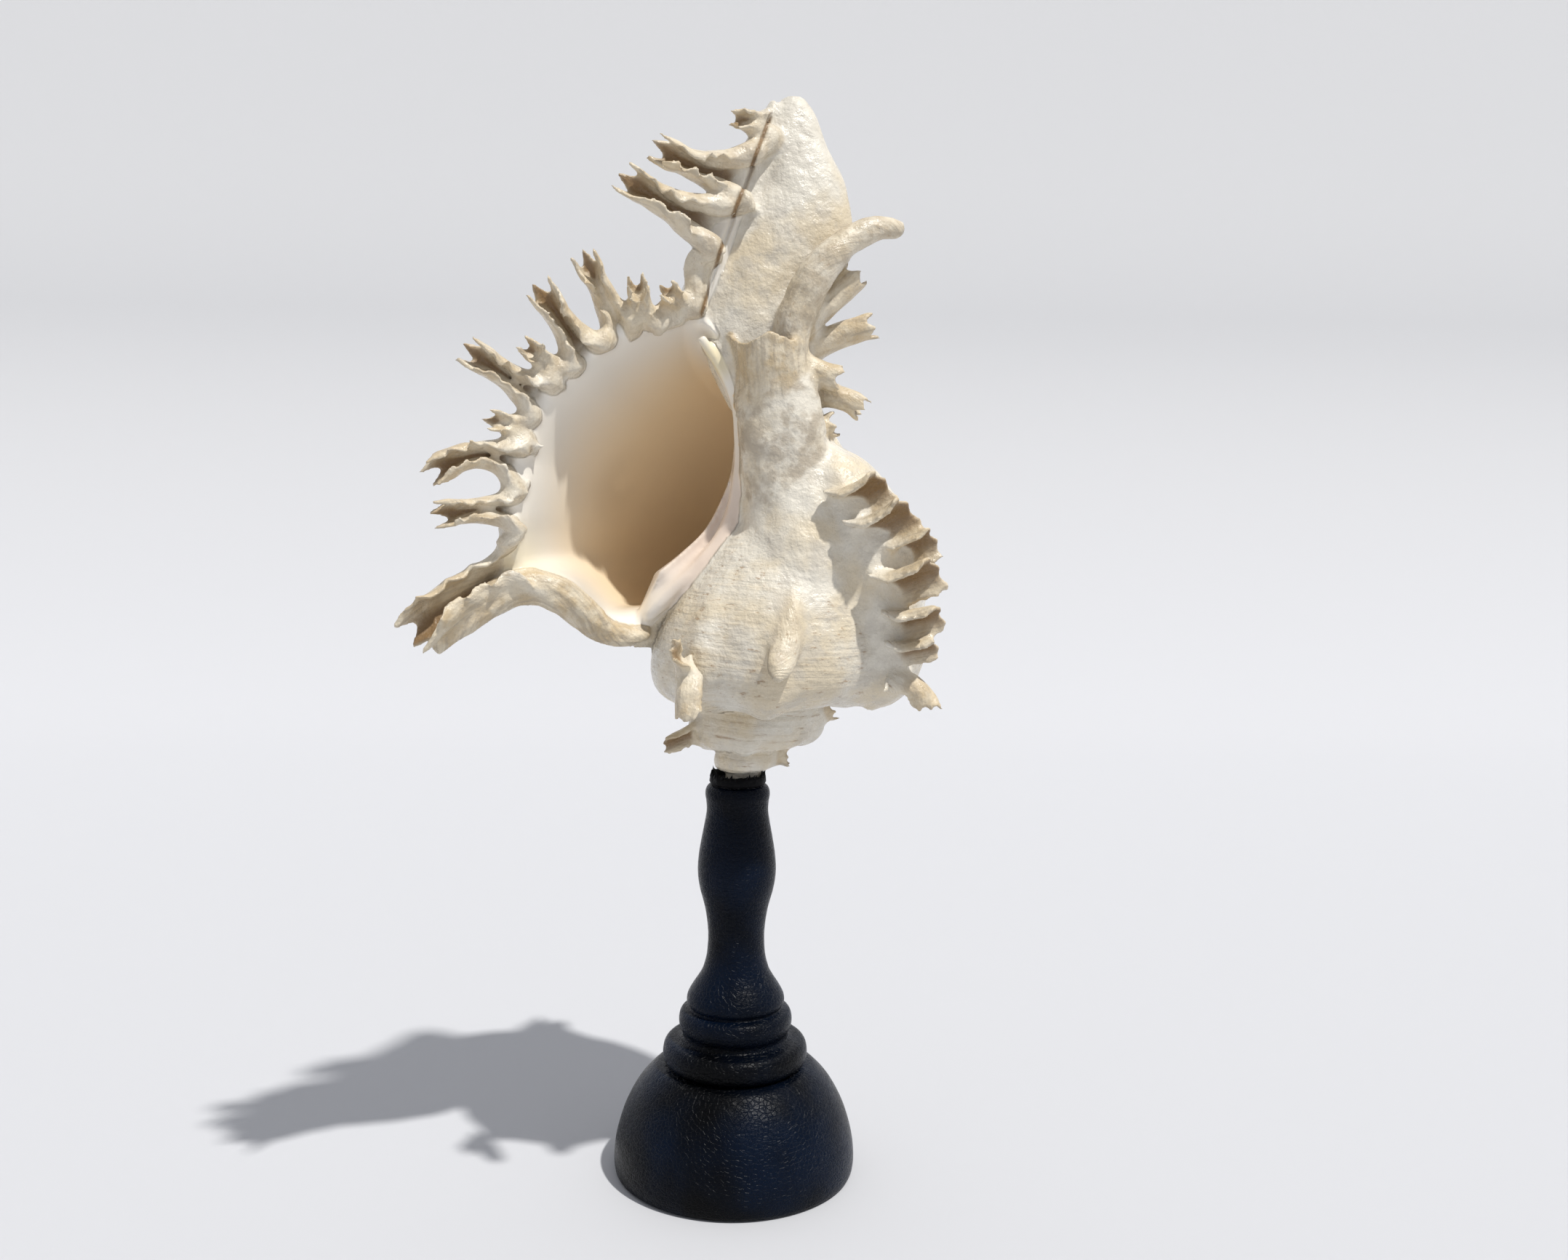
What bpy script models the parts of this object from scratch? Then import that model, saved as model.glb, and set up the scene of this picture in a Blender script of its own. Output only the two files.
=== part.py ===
"""A large branched murex shell, spire down, mounted on a black turned wooden stand.

The shell is one hollow solid that follows a growth spiral: every cross-section is the same
outline, scaled up as it turns round the axis. Its last cross-sections flare into the lip, and
leafy hollow spines, called fronds here, stand on the lip and on the raised ribs left by earlier
lips. The stand is a turned dome with a turned column on it, and a cup of black putty holds the
tip of the shell.
"""

import math
from dataclasses import dataclass

import bmesh
import bpy
import numpy as np

MM = 0.001

# Stand, in millimetres.
BASE_RADIUS = 29.9
BASE_TOP = 27.2
COLUMN_BOTTOM = 27.5
COLUMN_TOP = 98.0
JOINT_GAP = 0.3
CUP_WALL = 1.0
CUP_FLOOR = 1.0
TIP_RADIUS = 5.6
TIP_BOTTOM = COLUMN_TOP + JOINT_GAP + CUP_FLOOR + JOINT_GAP
TIP_SHOULDER = 101.7

# Axis of the shell: where its unseen apex would be, and how far it leans to the right.
APEX_HEIGHT = 95.0
AXIS_LEAN_DEGREES = 6.5

# Growth: how much the shell widens in one turn, and the angles of its main sections in degrees.
TURN_GROWTH = 1.9
FULL_SIZE_ANGLE = 200.0
SPIRE_START_ANGLE = -1260.0
HOLLOW_END_ANGLE = -50.0
FLARE_START_ANGLE = 108.0
FLARE_POWER = 1.7
MOUTH_ANGLE = 206.0
SECTION_STEP = 8.0

# Raised ribs left by earlier lips, and the low knobs between them, as growth angles.
RIB_ANGLES = (88.0, -25.0, -119.0, -240.0, -368.0, -528.0, -650.0, -770.0)
KNOB_ANGLES = (150.0, 35.0, -82.0, -300.0, -450.0, -590.0, -710.0)
RIB_HEIGHT = 4.6
KNOB_HEIGHT = 4.0

# Half of a cross-section at full size, as distance from the axis and height above the apex. The
# flank runs from the seam over the shoulder to the canal, and the neck goes on up the canal and
# back down the axis.
FLANK = (
    (23.0, 41.0), (31.0, 41.3), (38.5, 43.2), (44.5, 48.0), (47.5, 55.0), (48.2, 62.0),
    (47.2, 71.0), (44.6, 81.0), (40.8, 90.0), (36.0, 99.0), (31.0, 107.5), (24.5, 116.0),
)
NECK = ((16.5, 124.0), (11.0, 132.0), (8.0, 140.0), (0.5, 144.0), (0.5, 39.0), (12.0, 40.0))
HOLLOW_FLANK = (
    (31.0, 48.6), (36.7, 46.6), (41.8, 50.2), (44.3, 56.0), (45.0, 62.5), (44.0, 70.8),
    (41.2, 80.0), (37.6, 88.5), (32.8, 97.0), (27.5, 105.0),
)
HOLLOW_PILLAR = (
    (21.0, 108.5), (15.5, 103.0), (12.6, 95.0), (11.6, 86.0), (12.0, 76.5), (16.0, 65.0),
    (21.5, 58.2), (27.0, 53.0),
)
# Edge of the flared lip, from the seam round to the canal.
LIP_EDGE = (
    (-23.7, -10.0, 137.4), (-30.4, -13.0, 139.4), (-34.6, -15.5, 144.2), (-39.0, -18.0, 148.8),
    (-45.0, -20.5, 150.8), (-50.5, -23.0, 152.6), (-51.5, -25.0, 158.0), (-50.5, -26.0, 164.5),
    (-49.8, -26.0, 171.5), (-49.4, -25.5, 178.5), (-46.6, -24.5, 186.5), (-42.5, -23.0, 192.5),
    (-36.5, -21.0, 197.8), (-31.2, -19.0, 203.0), (-25.5, -17.0, 206.6), (-19.2, -14.0, 209.4),
    (-12.7, -11.0, 211.6),
)
LIP_THICKNESS = 3.2
LIP_FOOT_THICKNESS = 7.5
FLANK_POINTS = 26
PILLAR_POINTS = 12

# Fineness of the one solid that all of the shell's shapes are fused into.
VOXEL = 1.0
SHELL_TRIANGLES = 6400


@dataclass(frozen=True)
class Tube:
    """A round or oval stem: points of its centre line, with a half width and half depth at each."""

    stations: tuple
    sides: int = 14


@dataclass(frozen=True)
class Frond:
    """A gutter that narrows from a wide foot to a notched tip. Widths are half widths."""

    root: tuple
    tip: tuple
    foot: float
    width: float
    bow: tuple = (0.0, 0.0, 0.0)
    opens: tuple = (0.0, -1.0, 0.1)
    curl: float = 85.0
    wall: float = 1.7
    neck: float = 0.5


# Stems, each station with x, y, z, half width and half depth: the canal's broad tongue, the
# flange on the far side of its slit, and the smooth inner lip.
TONGUE = Tube((
    (5.5, -1.0, 190.0, 8.0, 8.0), (2.6, -2.0, 200.0, 10.5, 8.5), (3.0, -1.5, 210.0, 12.0, 8.5),
    (7.5, -0.5, 220.0, 13.5, 8.0), (11.4, 0.5, 229.0, 14.2, 7.5), (12.3, 1.5, 237.5, 12.0, 6.5),
    (11.4, 2.5, 247.0, 8.3, 5.2), (11.3, 3.6, 255.5, 5.2, 3.8), (11.2, 4.6, 259.6, 2.6, 2.2),
))
SLIT_FLANGE = Tube((
    (-12.6, -6.5, 208.6, 1.6, 2.0), (-11.6, -7.6, 212.0, 3.0, 3.2), (-9.4, -7.4, 218.0, 3.5, 3.3),
    (-7.0, -6.6, 224.0, 3.6, 3.2), (-3.2, -4.4, 234.0, 3.4, 3.0), (0.6, -1.8, 243.0, 3.0, 2.8),
    (4.6, 1.4, 252.5, 2.4, 2.4), (7.4, 3.4, 258.4, 1.6, 1.8),
))
INNER_LIP = Tube((
    (-9.5, -8.6, 204.5, 1.0, 1.4), (-4.8, -7.5, 197.8, 1.5, 1.8), (-1.0, -6.8, 190.0, 1.7, 2.0),
    (0.0, -6.8, 182.0, 1.7, 2.0), (-0.2, -7.2, 174.0, 1.7, 2.0), (-1.6, -8.0, 165.0, 1.8, 2.1),
    (-4.6, -9.0, 158.0, 1.9, 2.3), (-9.2, -10.2, 152.0, 2.2, 2.6), (-14.8, -10.6, 147.0, 2.2, 2.6),
    (-19.8, -10.6, 142.0, 1.9, 2.2), (-22.0, -9.4, 139.0, 1.3, 1.5),
))
# Two older canals: one ends in a long horn, and the oldest is a plate with a short hollow crown.
HORN = Tube((
    (11.0, 0.0, 176.0, 3.0, 3.0), (10.8, -4.0, 186.0, 5.0, 4.6), (10.6, -8.2, 196.0, 4.4, 4.4),
    (11.2, -10.8, 205.6, 4.2, 4.2), (14.0, -12.0, 213.8, 4.2, 4.0), (18.0, -12.0, 220.6, 3.9, 3.7),
    (23.6, -10.4, 226.2, 3.2, 3.1), (30.0, -8.2, 229.4, 2.8, 2.7), (35.4, -6.0, 229.4, 2.0, 2.0),
    (36.6, -5.6, 229.0, 0.8, 0.8),
))
CROWN_PLATE = Tube((
    (12.0, -8.0, 158.0, 4.0, 4.0), (10.8, -10.5, 167.0, 8.4, 7.0), (10.0, -10.5, 175.0, 9.8, 7.0),
    (9.4, -10.5, 184.0, 9.8, 6.8), (8.4, -10.8, 192.0, 8.6, 5.6), (7.6, -11.2, 199.0, 5.6, 3.6),
), sides=18)
CROWN = Tube((
    (8.2, -11.0, 184.0, 5.5, 3.5), (7.8, -13.2, 192.0, 6.6, 4.4), (7.2, -14.6, 199.0, 6.4, 4.6),
    (7.0, -15.2, 204.4, 6.6, 4.6),
))
CROWN_BORE = Tube((
    (7.2, -14.6, 197.5, 3.2, 2.0), (7.1, -15.0, 201.0, 4.7, 2.9), (7.0, -15.6, 206.5, 5.2, 3.3),
))
# The lip's folded foot, the body's shoulder and its swelling below the right rib, and a low
# ridge with a knob on the front.
FOOT_BAND = Tube((
    (-67.5, -29.0, 134.6, 1.2, 1.2), (-61.0, -27.5, 141.0, 2.8, 2.2), (-54.0, -25.0, 146.2, 3.4, 2.6),
    (-47.0, -22.0, 148.0, 3.6, 2.8), (-40.5, -19.8, 146.0, 3.6, 2.8), (-35.6, -17.0, 141.6, 3.4, 2.6),
    (-31.0, -14.2, 137.2, 2.8, 2.3), (-25.5, -11.6, 135.6, 2.0, 1.8), (-21.0, -9.5, 136.2, 1.2, 1.2),
))
SHOULDER = Tube((
    (9.0, -5.0, 188.0, 8.0, 7.0), (10.5, -6.5, 178.0, 10.0, 9.0), (12.5, -6.5, 169.0, 13.0, 12.0),
    (14.5, -6.0, 160.0, 16.5, 15.5), (15.0, -6.0, 150.0, 18.0, 17.0),
    (15.0, -6.0, 141.0, 18.0, 18.0),
), sides=24)
RIGHT_SWELLING = Tube((
    (15.0, -5.0, 181.0, 3.0, 5.0), (21.0, -6.0, 172.5, 8.5, 11.0), (25.0, -6.0, 165.5, 11.0, 13.5),
    (28.5, -6.0, 158.0, 12.5, 15.0), (30.5, -5.5, 150.5, 13.0, 15.5),
    (31.0, -5.0, 140.0, 13.0, 15.0), (31.0, -5.0, 129.0, 12.0, 13.0), (27.0, -4.0, 121.0, 7.0, 8.0),
), sides=24)
FRONT_RIDGE = Tube((
    (13.0, -20.0, 154.0, 1.6, 1.0), (11.8, -25.5, 144.0, 3.0, 1.9), (10.4, -29.2, 136.6, 3.6, 2.1),
    (8.9, -32.9, 131.4, 2.8, 2.1), (8.4, -34.8, 129.4, 0.9, 0.9),
))
STEMS = (TONGUE, SLIT_FLANGE, INNER_LIP, HORN, CROWN_PLATE, CROWN, FOOT_BAND, SHOULDER,
         RIGHT_SWELLING, FRONT_RIDGE)

LIP_FRONDS = (
    Frond((5.0, 0.5, 252.5), (-2.2, -8.0, 252.6), 4.0, 1.4),
    Frond((2.0, -3.0, 239.5), (-19.0, -14.0, 244.8), 7.0, 2.0, (0.0, 0.0, -2.0), neck=0.85),
    Frond((-4.0, -7.0, 228.0), (-26.0, -17.0, 238.0), 6.6, 2.1, (0.0, 0.0, -1.5), neck=0.8),
    Frond((-13.5, -8.9, 210.0), (-17.1, -16.0, 215.0), 4.0, 1.3),
    Frond((-22.0, -11.4, 206.0), (-23.4, -19.0, 216.0), 5.0, 1.4),
    Frond((-26.5, -12.4, 204.5), (-34.6, -22.0, 220.5), 5.5, 1.6),
    Frond((-34.5, -15.9, 199.0), (-43.8, -25.5, 213.4), 6.5, 2.0),
    Frond((-39.5, -17.9, 194.5), (-47.0, -27.0, 201.4), 5.0, 1.3),
    Frond((-43.5, -19.9, 189.5), (-58.8, -29.0, 199.8), 6.0, 1.9),
    Frond((-47.0, -21.4, 183.0), (-54.6, -28.0, 185.4), 4.5, 1.2),
    Frond((-48.0, -21.9, 174.5), (-66.2, -31.0, 173.6), 6.5, 1.9, (0.0, 0.0, 7.0)),
    Frond((-48.5, -21.9, 165.0), (-65.0, -32.0, 164.6), 6.5, 1.8, (0.0, 0.0, 1.5)),
    Frond((-47.0, -17.9, 151.0), (-70.6, -30.5, 137.4), 8.5, 3.6, (-1.0, 0.0, 4.0),
          (-0.1, -0.9, 0.5), 108.0, 2.2, 0.9),
)
OLD_CANAL_FRONDS = (
    Frond((15.5, -9.0, 208.5), (27.0, -6.5, 218.4), 4.6, 2.0, (0.0, 0.0, -1.5), (-0.2, 0.8, 0.6)),
    Frond((14.0, -4.0, 201.0), (30.0, -6.0, 207.0), 4.5, 1.8, (0.0, 0.0, 1.0), (0.0, 0.9, 0.4)),
    Frond((10.5, -9.0, 198.0), (21.8, -12.0, 194.4), 4.5, 2.0, opens=(0.0, 0.9, 0.4)),
    Frond((13.5, -4.0, 188.5), (27.0, -8.0, 188.0), 4.0, 1.6, (0.0, 0.0, 5.0), (0.0, 0.8, 0.6)),
    Frond((11.0, -6.0, 181.0), (21.6, -8.0, 184.2), 4.5, 1.8, opens=(0.0, 0.9, 0.4)),
)
RIGHT_RIB_FRONDS = (
    Frond((22.5, -17.0, 167.0), (31.8, -21.0, 173.0), 7.0, 4.2, opens=(-0.3, -0.5, -0.8), wall=1.8),
    Frond((27.0, -18.5, 160.0), (37.6, -22.5, 167.0), 7.6, 4.8, opens=(-0.3, -0.5, -0.8), wall=1.8),
    Frond((32.5, -15.5, 155.5), (43.6, -18.0, 160.6), 6.4, 4.0, opens=(-0.3, -0.5, -0.8), wall=1.8),
    Frond((32.0, -19.0, 148.5), (43.8, -23.5, 154.0), 7.0, 4.2, opens=(-0.3, -0.5, -0.8), wall=1.8),
    Frond((34.0, -19.0, 140.5), (45.2, -22.5, 143.4), 6.4, 3.4, opens=(-0.3, -0.5, -0.8), wall=1.8),
    Frond((34.5, -18.5, 133.5), (44.8, -21.0, 135.8), 5.6, 2.6, opens=(-0.3, -0.5, -0.8), wall=1.8),
    Frond((34, -17, 128.4), (43.4, -19.5, 120.6), 6.2, 2.2, (4.0, 0.0, 3.0), (0.2, 0.4, -0.9)),
)
FRONT_RIB_FRONDS = (
    Frond((-12.5, -24.0, 130.0), (-14.4, -34.0, 135.4), 3.6, 2.3, (0.0, -1.5, 0.0),
          (0.4, -0.6, 0.6)),
    Frond((-12.5, -26.0, 131.0), (-13.0, -33.6, 120.6), 3.4, 2.6, (0.0, -4.0, 1.5),
          (0.85, 0.3, -0.3), 110.0),
)
SPIRE_FRONDS = (
    Frond((-9.0, -4.0, 112.5), (-17.2, -9.0, 109.6), 5.5, 1.8, opens=(-0.3, -0.8, -0.5)),
    Frond((12.0, -3.0, 114.0), (22.6, -3.0, 117.8), 5.5, 3.2, opens=(0.2, 0.9, 0.3)),
    Frond((7.0, -2.0, 105.5), (12.2, -4.0, 105.0), 3.2, 1.6, opens=(0.2, 0.9, 0.3)),
)
# On the ribs that the front view hides: place along the flank, and length at full size.
ROW_OF_FRONDS = ((0.10, 15.0), (0.24, 9.0), (0.36, 13.0), (0.49, 9.0), (0.62, 12.0), (0.76, 9.0))


def smooth_curve(points, count):
    """Evenly spaced points on a Catmull-Rom curve through the given points."""
    points = np.asarray(points, float)
    padded = np.vstack([2 * points[0] - points[1], points, 2 * points[-1] - points[-2]])
    fine = []
    for start in range(len(points) - 1):
        before, left, right, after = padded[start : start + 4]
        for t in np.linspace(0.0, 1.0, 24, endpoint=False):
            fine.append(
                0.5
                * (
                    2 * left
                    + (right - before) * t
                    + (2 * before - 5 * left + 4 * right - after) * t**2
                    + (3 * left - before - 3 * right + after) * t**3
                )
            )
    fine = np.array(fine + [points[-1]])
    travel = np.concatenate([[0.0], np.cumsum(np.linalg.norm(np.diff(fine, axis=0), axis=1))])
    wanted = np.linspace(0.0, travel[-1], count)
    return np.stack([np.interp(wanted, travel, fine[:, axis]) for axis in range(fine.shape[1])], 1)


def ease(value):
    """A smooth step from 0 to 1."""
    value = min(max(value, 0.0), 1.0)
    return value * value * (3.0 - 2.0 * value)


def unit(vector):
    return vector / np.linalg.norm(vector)


def growth(angle):
    """Size of the cross-section at an angle, with 1 at full size."""
    return TURN_GROWTH ** ((angle - FULL_SIZE_ANGLE) / 360.0)


def in_object_frame(section, angle):
    """Points given as distance from the shell's axis and height, turned to an angle and leaned."""
    turn = math.radians(angle)
    lean = math.radians(AXIS_LEAN_DEGREES)
    across = section[:, 0] * math.cos(turn)
    height = section[:, 1]
    return np.stack(
        [
            across * math.cos(lean) + height * math.sin(lean),
            section[:, 0] * math.sin(turn),
            APEX_HEIGHT + height * math.cos(lean) - across * math.sin(lean),
        ],
        axis=1,
    )


def swollen(flank, angle):
    """The flank pushed outwards where a rib or a knob crosses it."""
    along = np.linspace(0.0, 1.0, len(flank))
    shoulder = np.exp(-(((along - 0.20) / 0.10) ** 2))
    side = np.exp(-(((along - 0.36) / 0.30) ** 2))
    push = np.zeros(len(flank))
    for rib in RIB_ANGLES:
        push += RIB_HEIGHT * math.exp(-(((angle - rib) / 7.0) ** 2)) * side
    for knob in KNOB_ANGLES:
        push += KNOB_HEIGHT * math.exp(-(((angle - knob) / 9.0) ** 2)) * (shoulder + 0.2 * side)
    direction = np.gradient(flank, axis=0)
    outwards = np.stack([direction[:, 1], -direction[:, 0]], axis=1)
    outwards /= np.linalg.norm(outwards, axis=1)[:, None]
    return flank + outwards * push[:, None]


def outer_ring(angle):
    """The outside's cross-section: flank, neck, and the axis that closes it."""
    flank = swollen(smooth_curve(FLANK, FLANK_POINTS), angle)
    section = np.vstack([flank, NECK])
    return in_object_frame(section * growth(angle), angle)


def hollow_ring(angle):
    """The hollow's cross-section: its outer side, then the side of the pillar."""
    section = np.vstack(
        [smooth_curve(HOLLOW_FLANK, FLANK_POINTS), smooth_curve(HOLLOW_PILLAR, PILLAR_POINTS)]
    )
    return in_object_frame(section * growth(angle), angle)


def lip_back():
    """The lip's outer edge, thickest at its foot, a little behind its front edge."""
    edge = smooth_curve(LIP_EDGE, FLANK_POINTS)
    away = edge - edge.mean(axis=0)
    away[:, 1] = 0.0
    away /= np.linalg.norm(away, axis=1)[:, None]
    downwards = np.clip(-away[:, 2], 0.0, 1.0) ** 2
    thickness = LIP_THICKNESS + (LIP_FOOT_THICKNESS - LIP_THICKNESS) * downwards
    return edge + away * thickness[:, None] + np.array([0.0, 3.0, 0.0])


def flared(ring, angle, edge):
    """A ring near the mouth, with its flank drawn out towards the lip."""
    share = (angle - FLARE_START_ANGLE) / (MOUTH_ANGLE - FLARE_START_ANGLE)
    share = max(share, 0.0) ** FLARE_POWER
    ring = ring.copy()
    ring[:FLANK_POINTS] += (edge - ring[:FLANK_POINTS]) * share
    return ring


def skin(rings, first_index):
    """Four-sided faces between rings of equal length."""
    count = len(rings[0])
    faces = []
    for row in range(len(rings) - 1):
        low = first_index + row * count
        high = low + count
        faces += [(low + i, low + (i + 1) % count, high + (i + 1) % count, high + i)
                  for i in range(count)]
    return faces


def ladder(left, right):
    """Triangles between two chains of points of different lengths."""
    faces = []
    i = j = 0
    while i < len(left) - 1 or j < len(right) - 1:
        left_next = (i + 1) / (len(left) - 1) if i < len(left) - 1 else 2.0
        right_next = (j + 1) / (len(right) - 1) if j < len(right) - 1 else 2.0
        if left_next <= right_next:
            faces.append((left[i], left[i + 1], right[j]))
            i += 1
        else:
            faces.append((left[i], right[j + 1], right[j]))
            j += 1
    return faces


def whorls():
    """The spiral: its outside, the rim of the mouth and the hollow, as one closed skin."""
    angles = np.append(np.arange(SPIRE_START_ANGLE, MOUTH_ANGLE, SECTION_STEP), MOUTH_ANGLE)
    outside = [flared(outer_ring(a), a, lip_back()) for a in angles]
    angles = np.arange(MOUTH_ANGLE, HOLLOW_END_ANGLE, -SECTION_STEP)
    edge = smooth_curve(LIP_EDGE, FLANK_POINTS)
    inside = [flared(hollow_ring(a), a, edge) for a in angles]
    end = inside[-1]
    inside += [end.mean(axis=0) + (end - end.mean(axis=0)) * share for share in (0.7, 0.35)]

    outer_count, inner_count = len(outside[0]), len(inside[0])
    start = len(outside) * outer_count
    points = list(np.vstack(outside + inside))
    faces = skin(outside, 0) + skin(inside, start)
    rim = start - outer_count
    faces += [(rim + i, rim + i + 1, start + i + 1, start + i) for i in range(FLANK_POINTS - 1)]
    last = FLANK_POINTS - 1
    axis_side = [rim + i for i in range(last, outer_count)] + [rim]
    pillar_side = [start + i for i in range(last, inner_count)] + [start]
    faces += ladder(axis_side, pillar_side)
    points.append(outside[0].mean(axis=0))
    faces += [(len(points) - 1, (i + 1) % outer_count, i) for i in range(outer_count)]
    points.append(inside[-1].mean(axis=0))
    bottom = start + (len(inside) - 1) * inner_count
    faces += [(len(points) - 1, bottom + i, bottom + (i + 1) % inner_count)
              for i in range(inner_count)]
    return np.array(points), faces


def tube_mesh(tube):
    """A closed oval stem along a smooth centre line."""
    stations = smooth_curve(tube.stations, 4 * len(tube.stations))
    centres = stations[:, :3]
    tangents = np.gradient(centres, axis=0)
    rings = []
    for centre, tangent, (half_width, half_depth) in zip(centres, tangents, stations[:, 3:]):
        tangent = unit(tangent)
        depth = unit(np.array([0.0, 1.0, 0.0]) - tangent * tangent[1])
        side = np.cross(depth, tangent)
        turns = np.linspace(0.0, 2.0 * math.pi, tube.sides, endpoint=False)
        rings.append(
            centre
            + np.outer(np.cos(turns) * half_width, side)
            + np.outer(np.sin(turns) * half_depth, depth)
        )
    points = np.vstack(rings + [centres[0], centres[-1]])
    faces = skin(rings, 0)
    first, last = len(points) - 2, len(points) - 1
    top = (len(rings) - 1) * tube.sides
    for i in range(tube.sides):
        j = (i + 1) % tube.sides
        faces += [(first, j, i), (last, top + i, top + j)]
    return points, faces


def bezier(start, control, end, t):
    return start * (1 - t) ** 2 + control * 2 * t * (1 - t) + end * t**2


def frond_mesh(frond, rows=8, columns=7):
    """The gutter's hollow face and its back, joined round their border."""
    root, tip = np.array(frond.root, float), np.array(frond.tip, float)
    control = (root + tip) / 2 + np.array(frond.bow, float)
    opening = np.array(frond.opens, float)
    length = np.linalg.norm(tip - root)
    front, back = [], []
    for u in np.linspace(0.0, 1.0, rows):
        centre = bezier(root, control, tip, u)
        ahead, behind = min(u + 0.02, 1.0), max(u - 0.02, 0.0)
        tangent = unit(bezier(root, control, tip, ahead) - bezier(root, control, tip, behind))
        facing = unit(opening - tangent * opening.dot(tangent))
        side = np.cross(tangent, facing)
        narrowing = max(0.0, 1.0 - u / frond.neck) ** 2
        half = frond.width * (1.0 + 0.3 * u**4) + (frond.foot - frond.width) * narrowing
        spread = math.radians(frond.curl) * (0.4 + 0.6 * ease(u / frond.neck))
        radius = half / math.sin(min(spread, math.pi / 2))
        for v in np.linspace(-1.0, 1.0, columns):
            turn = v * spread
            notch = 0.12 * length * u**4 * (abs(v) - 0.5)
            point = (
                centre
                + tangent * notch
                + side * math.sin(turn) * radius
                + facing * (1.0 - math.cos(turn)) * radius
            )
            outwards = side * math.sin(turn) - facing * math.cos(turn)
            front.append(point)
            back.append(point + outwards * frond.wall * (1.0 - 0.2 * u))
    return sheet_mesh(np.array(front), np.array(back), rows, columns)


def sheet_mesh(front, back, rows, columns):
    """Two grids of points, joined round their border into a closed mesh."""
    shift = rows * columns
    faces = []
    for r in range(rows - 1):
        for c in range(columns - 1):
            a = r * columns + c
            b, d, e = a + 1, a + columns, a + columns + 1
            faces += [(a, b, e, d), (a + shift, d + shift, e + shift, b + shift)]
    border = list(range(columns))
    border += [r * columns + columns - 1 for r in range(1, rows)]
    border += [(rows - 1) * columns + c for c in range(columns - 2, -1, -1)]
    border += [r * columns for r in range(rows - 2, 0, -1)]
    for a, b in zip(border, border[1:] + border[:1]):
        faces.append((a, a + shift, b + shift, b))
    return np.vstack([front, back]), faces


def rib_row(angle):
    """Fronds in a row on a rib, each pointing straight out and open towards the growing side."""
    flank = smooth_curve(FLANK, FLANK_POINTS)
    size = growth(angle)
    turn = math.radians(angle)
    ahead = (-math.sin(turn), math.cos(turn), 0.15)
    row = []
    for place, length in ROW_OF_FRONDS:
        index = round(place * (FLANK_POINTS - 1))
        direction = flank[index + 1] - flank[index - 1]
        outwards = unit(np.array([direction[1], -direction[0]]))
        foot = in_object_frame((flank[index] - outwards * 1.5)[None] * size, angle)[0]
        end = (flank[index] + outwards * length) * size
        tip = in_object_frame(end[None], angle + 3.0)[0]
        row.append(Frond(tuple(foot), tuple(tip), 5.0 * size, 2.3 * size, opens=ahead,
                         wall=max(2.0 * size, 1.4)))
    return row


def join(meshes):
    """Several closed meshes as one list of points and faces."""
    points, faces, start = [], [], 0
    for mesh_points, mesh_faces in meshes:
        points.append(mesh_points)
        faces += [tuple(start + i for i in face) for face in mesh_faces]
        start += len(mesh_points)
    return np.vstack(points), faces


def new_object(name, points, faces, material=None):
    """A mesh object from points in millimetres, with its faces turned outwards."""
    mesh = bpy.data.meshes.new(name)
    mesh.from_pydata([tuple(p) for p in np.asarray(points) * MM], [], faces)
    work = bmesh.new()
    work.from_mesh(mesh)
    bmesh.ops.recalc_face_normals(work, faces=work.faces)
    work.to_mesh(mesh)
    work.free()
    obj = bpy.data.objects.new(name, mesh)
    bpy.context.scene.collection.objects.link(obj)
    if material:
        mesh.materials.append(material)
    return obj


def evaluated(obj):
    """A new mesh that holds what the object's modifiers make."""
    graph = bpy.context.evaluated_depsgraph_get()
    return bpy.data.meshes.new_from_object(obj.evaluated_get(graph))


def keep_largest_body(mesh):
    """Deletes loose crumbs, so that the shell is one body."""
    work = bmesh.new()
    work.from_mesh(mesh)
    waiting, bodies = set(work.verts), []
    while waiting:
        body, edge = set(), [waiting.pop()]
        while edge:
            vertex = edge.pop()
            body.add(vertex)
            for link in vertex.link_edges:
                other = link.other_vert(vertex)
                if other in waiting:
                    waiting.discard(other)
                    edge.append(other)
        bodies.append(body)
    bodies.sort(key=len)
    crumbs = [vertex for body in bodies[:-1] for vertex in body]
    bmesh.ops.delete(work, geom=crumbs, context="VERTS")
    work.to_mesh(mesh)
    work.free()


def fuse(obj):
    """One closed surface round all of the object's overlapping shapes."""
    remesh = obj.modifiers.new("Fuse", "REMESH")
    remesh.mode = "VOXEL"
    remesh.voxel_size = VOXEL * MM
    mesh = evaluated(obj)
    obj.modifiers.clear()
    keep_largest_body(mesh)
    obj.data = mesh


def thin_out(obj, triangles):
    """Fewer triangles, where the surface is flattest."""
    obj.data.calc_loop_triangles()
    decimate = obj.modifiers.new("Thin out", "DECIMATE")
    decimate.ratio = triangles / len(obj.data.loop_triangles)
    decimate.use_collapse_triangulate = True
    mesh = evaluated(obj)
    obj.modifiers.clear()
    obj.data = mesh


def tip_cutter():
    """All that lies round the shell's round tip, below its shoulder: a thick ring on a plate."""
    outer, low = TIP_RADIUS + 30.0, TIP_BOTTOM - 30.0
    profile = [(outer, low), (outer, TIP_SHOULDER), (TIP_RADIUS, TIP_SHOULDER),
               (TIP_RADIUS, TIP_BOTTOM), (0.0, TIP_BOTTOM), (0.0, low)]
    return helper("tip_cutter", *turned(profile, 24))


def helper(name, points, faces):
    """An object that only cuts, and that no render shows."""
    obj = new_object(name, points, faces)
    obj.hide_render = True
    obj.display_type = "WIRE"
    return obj


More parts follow.
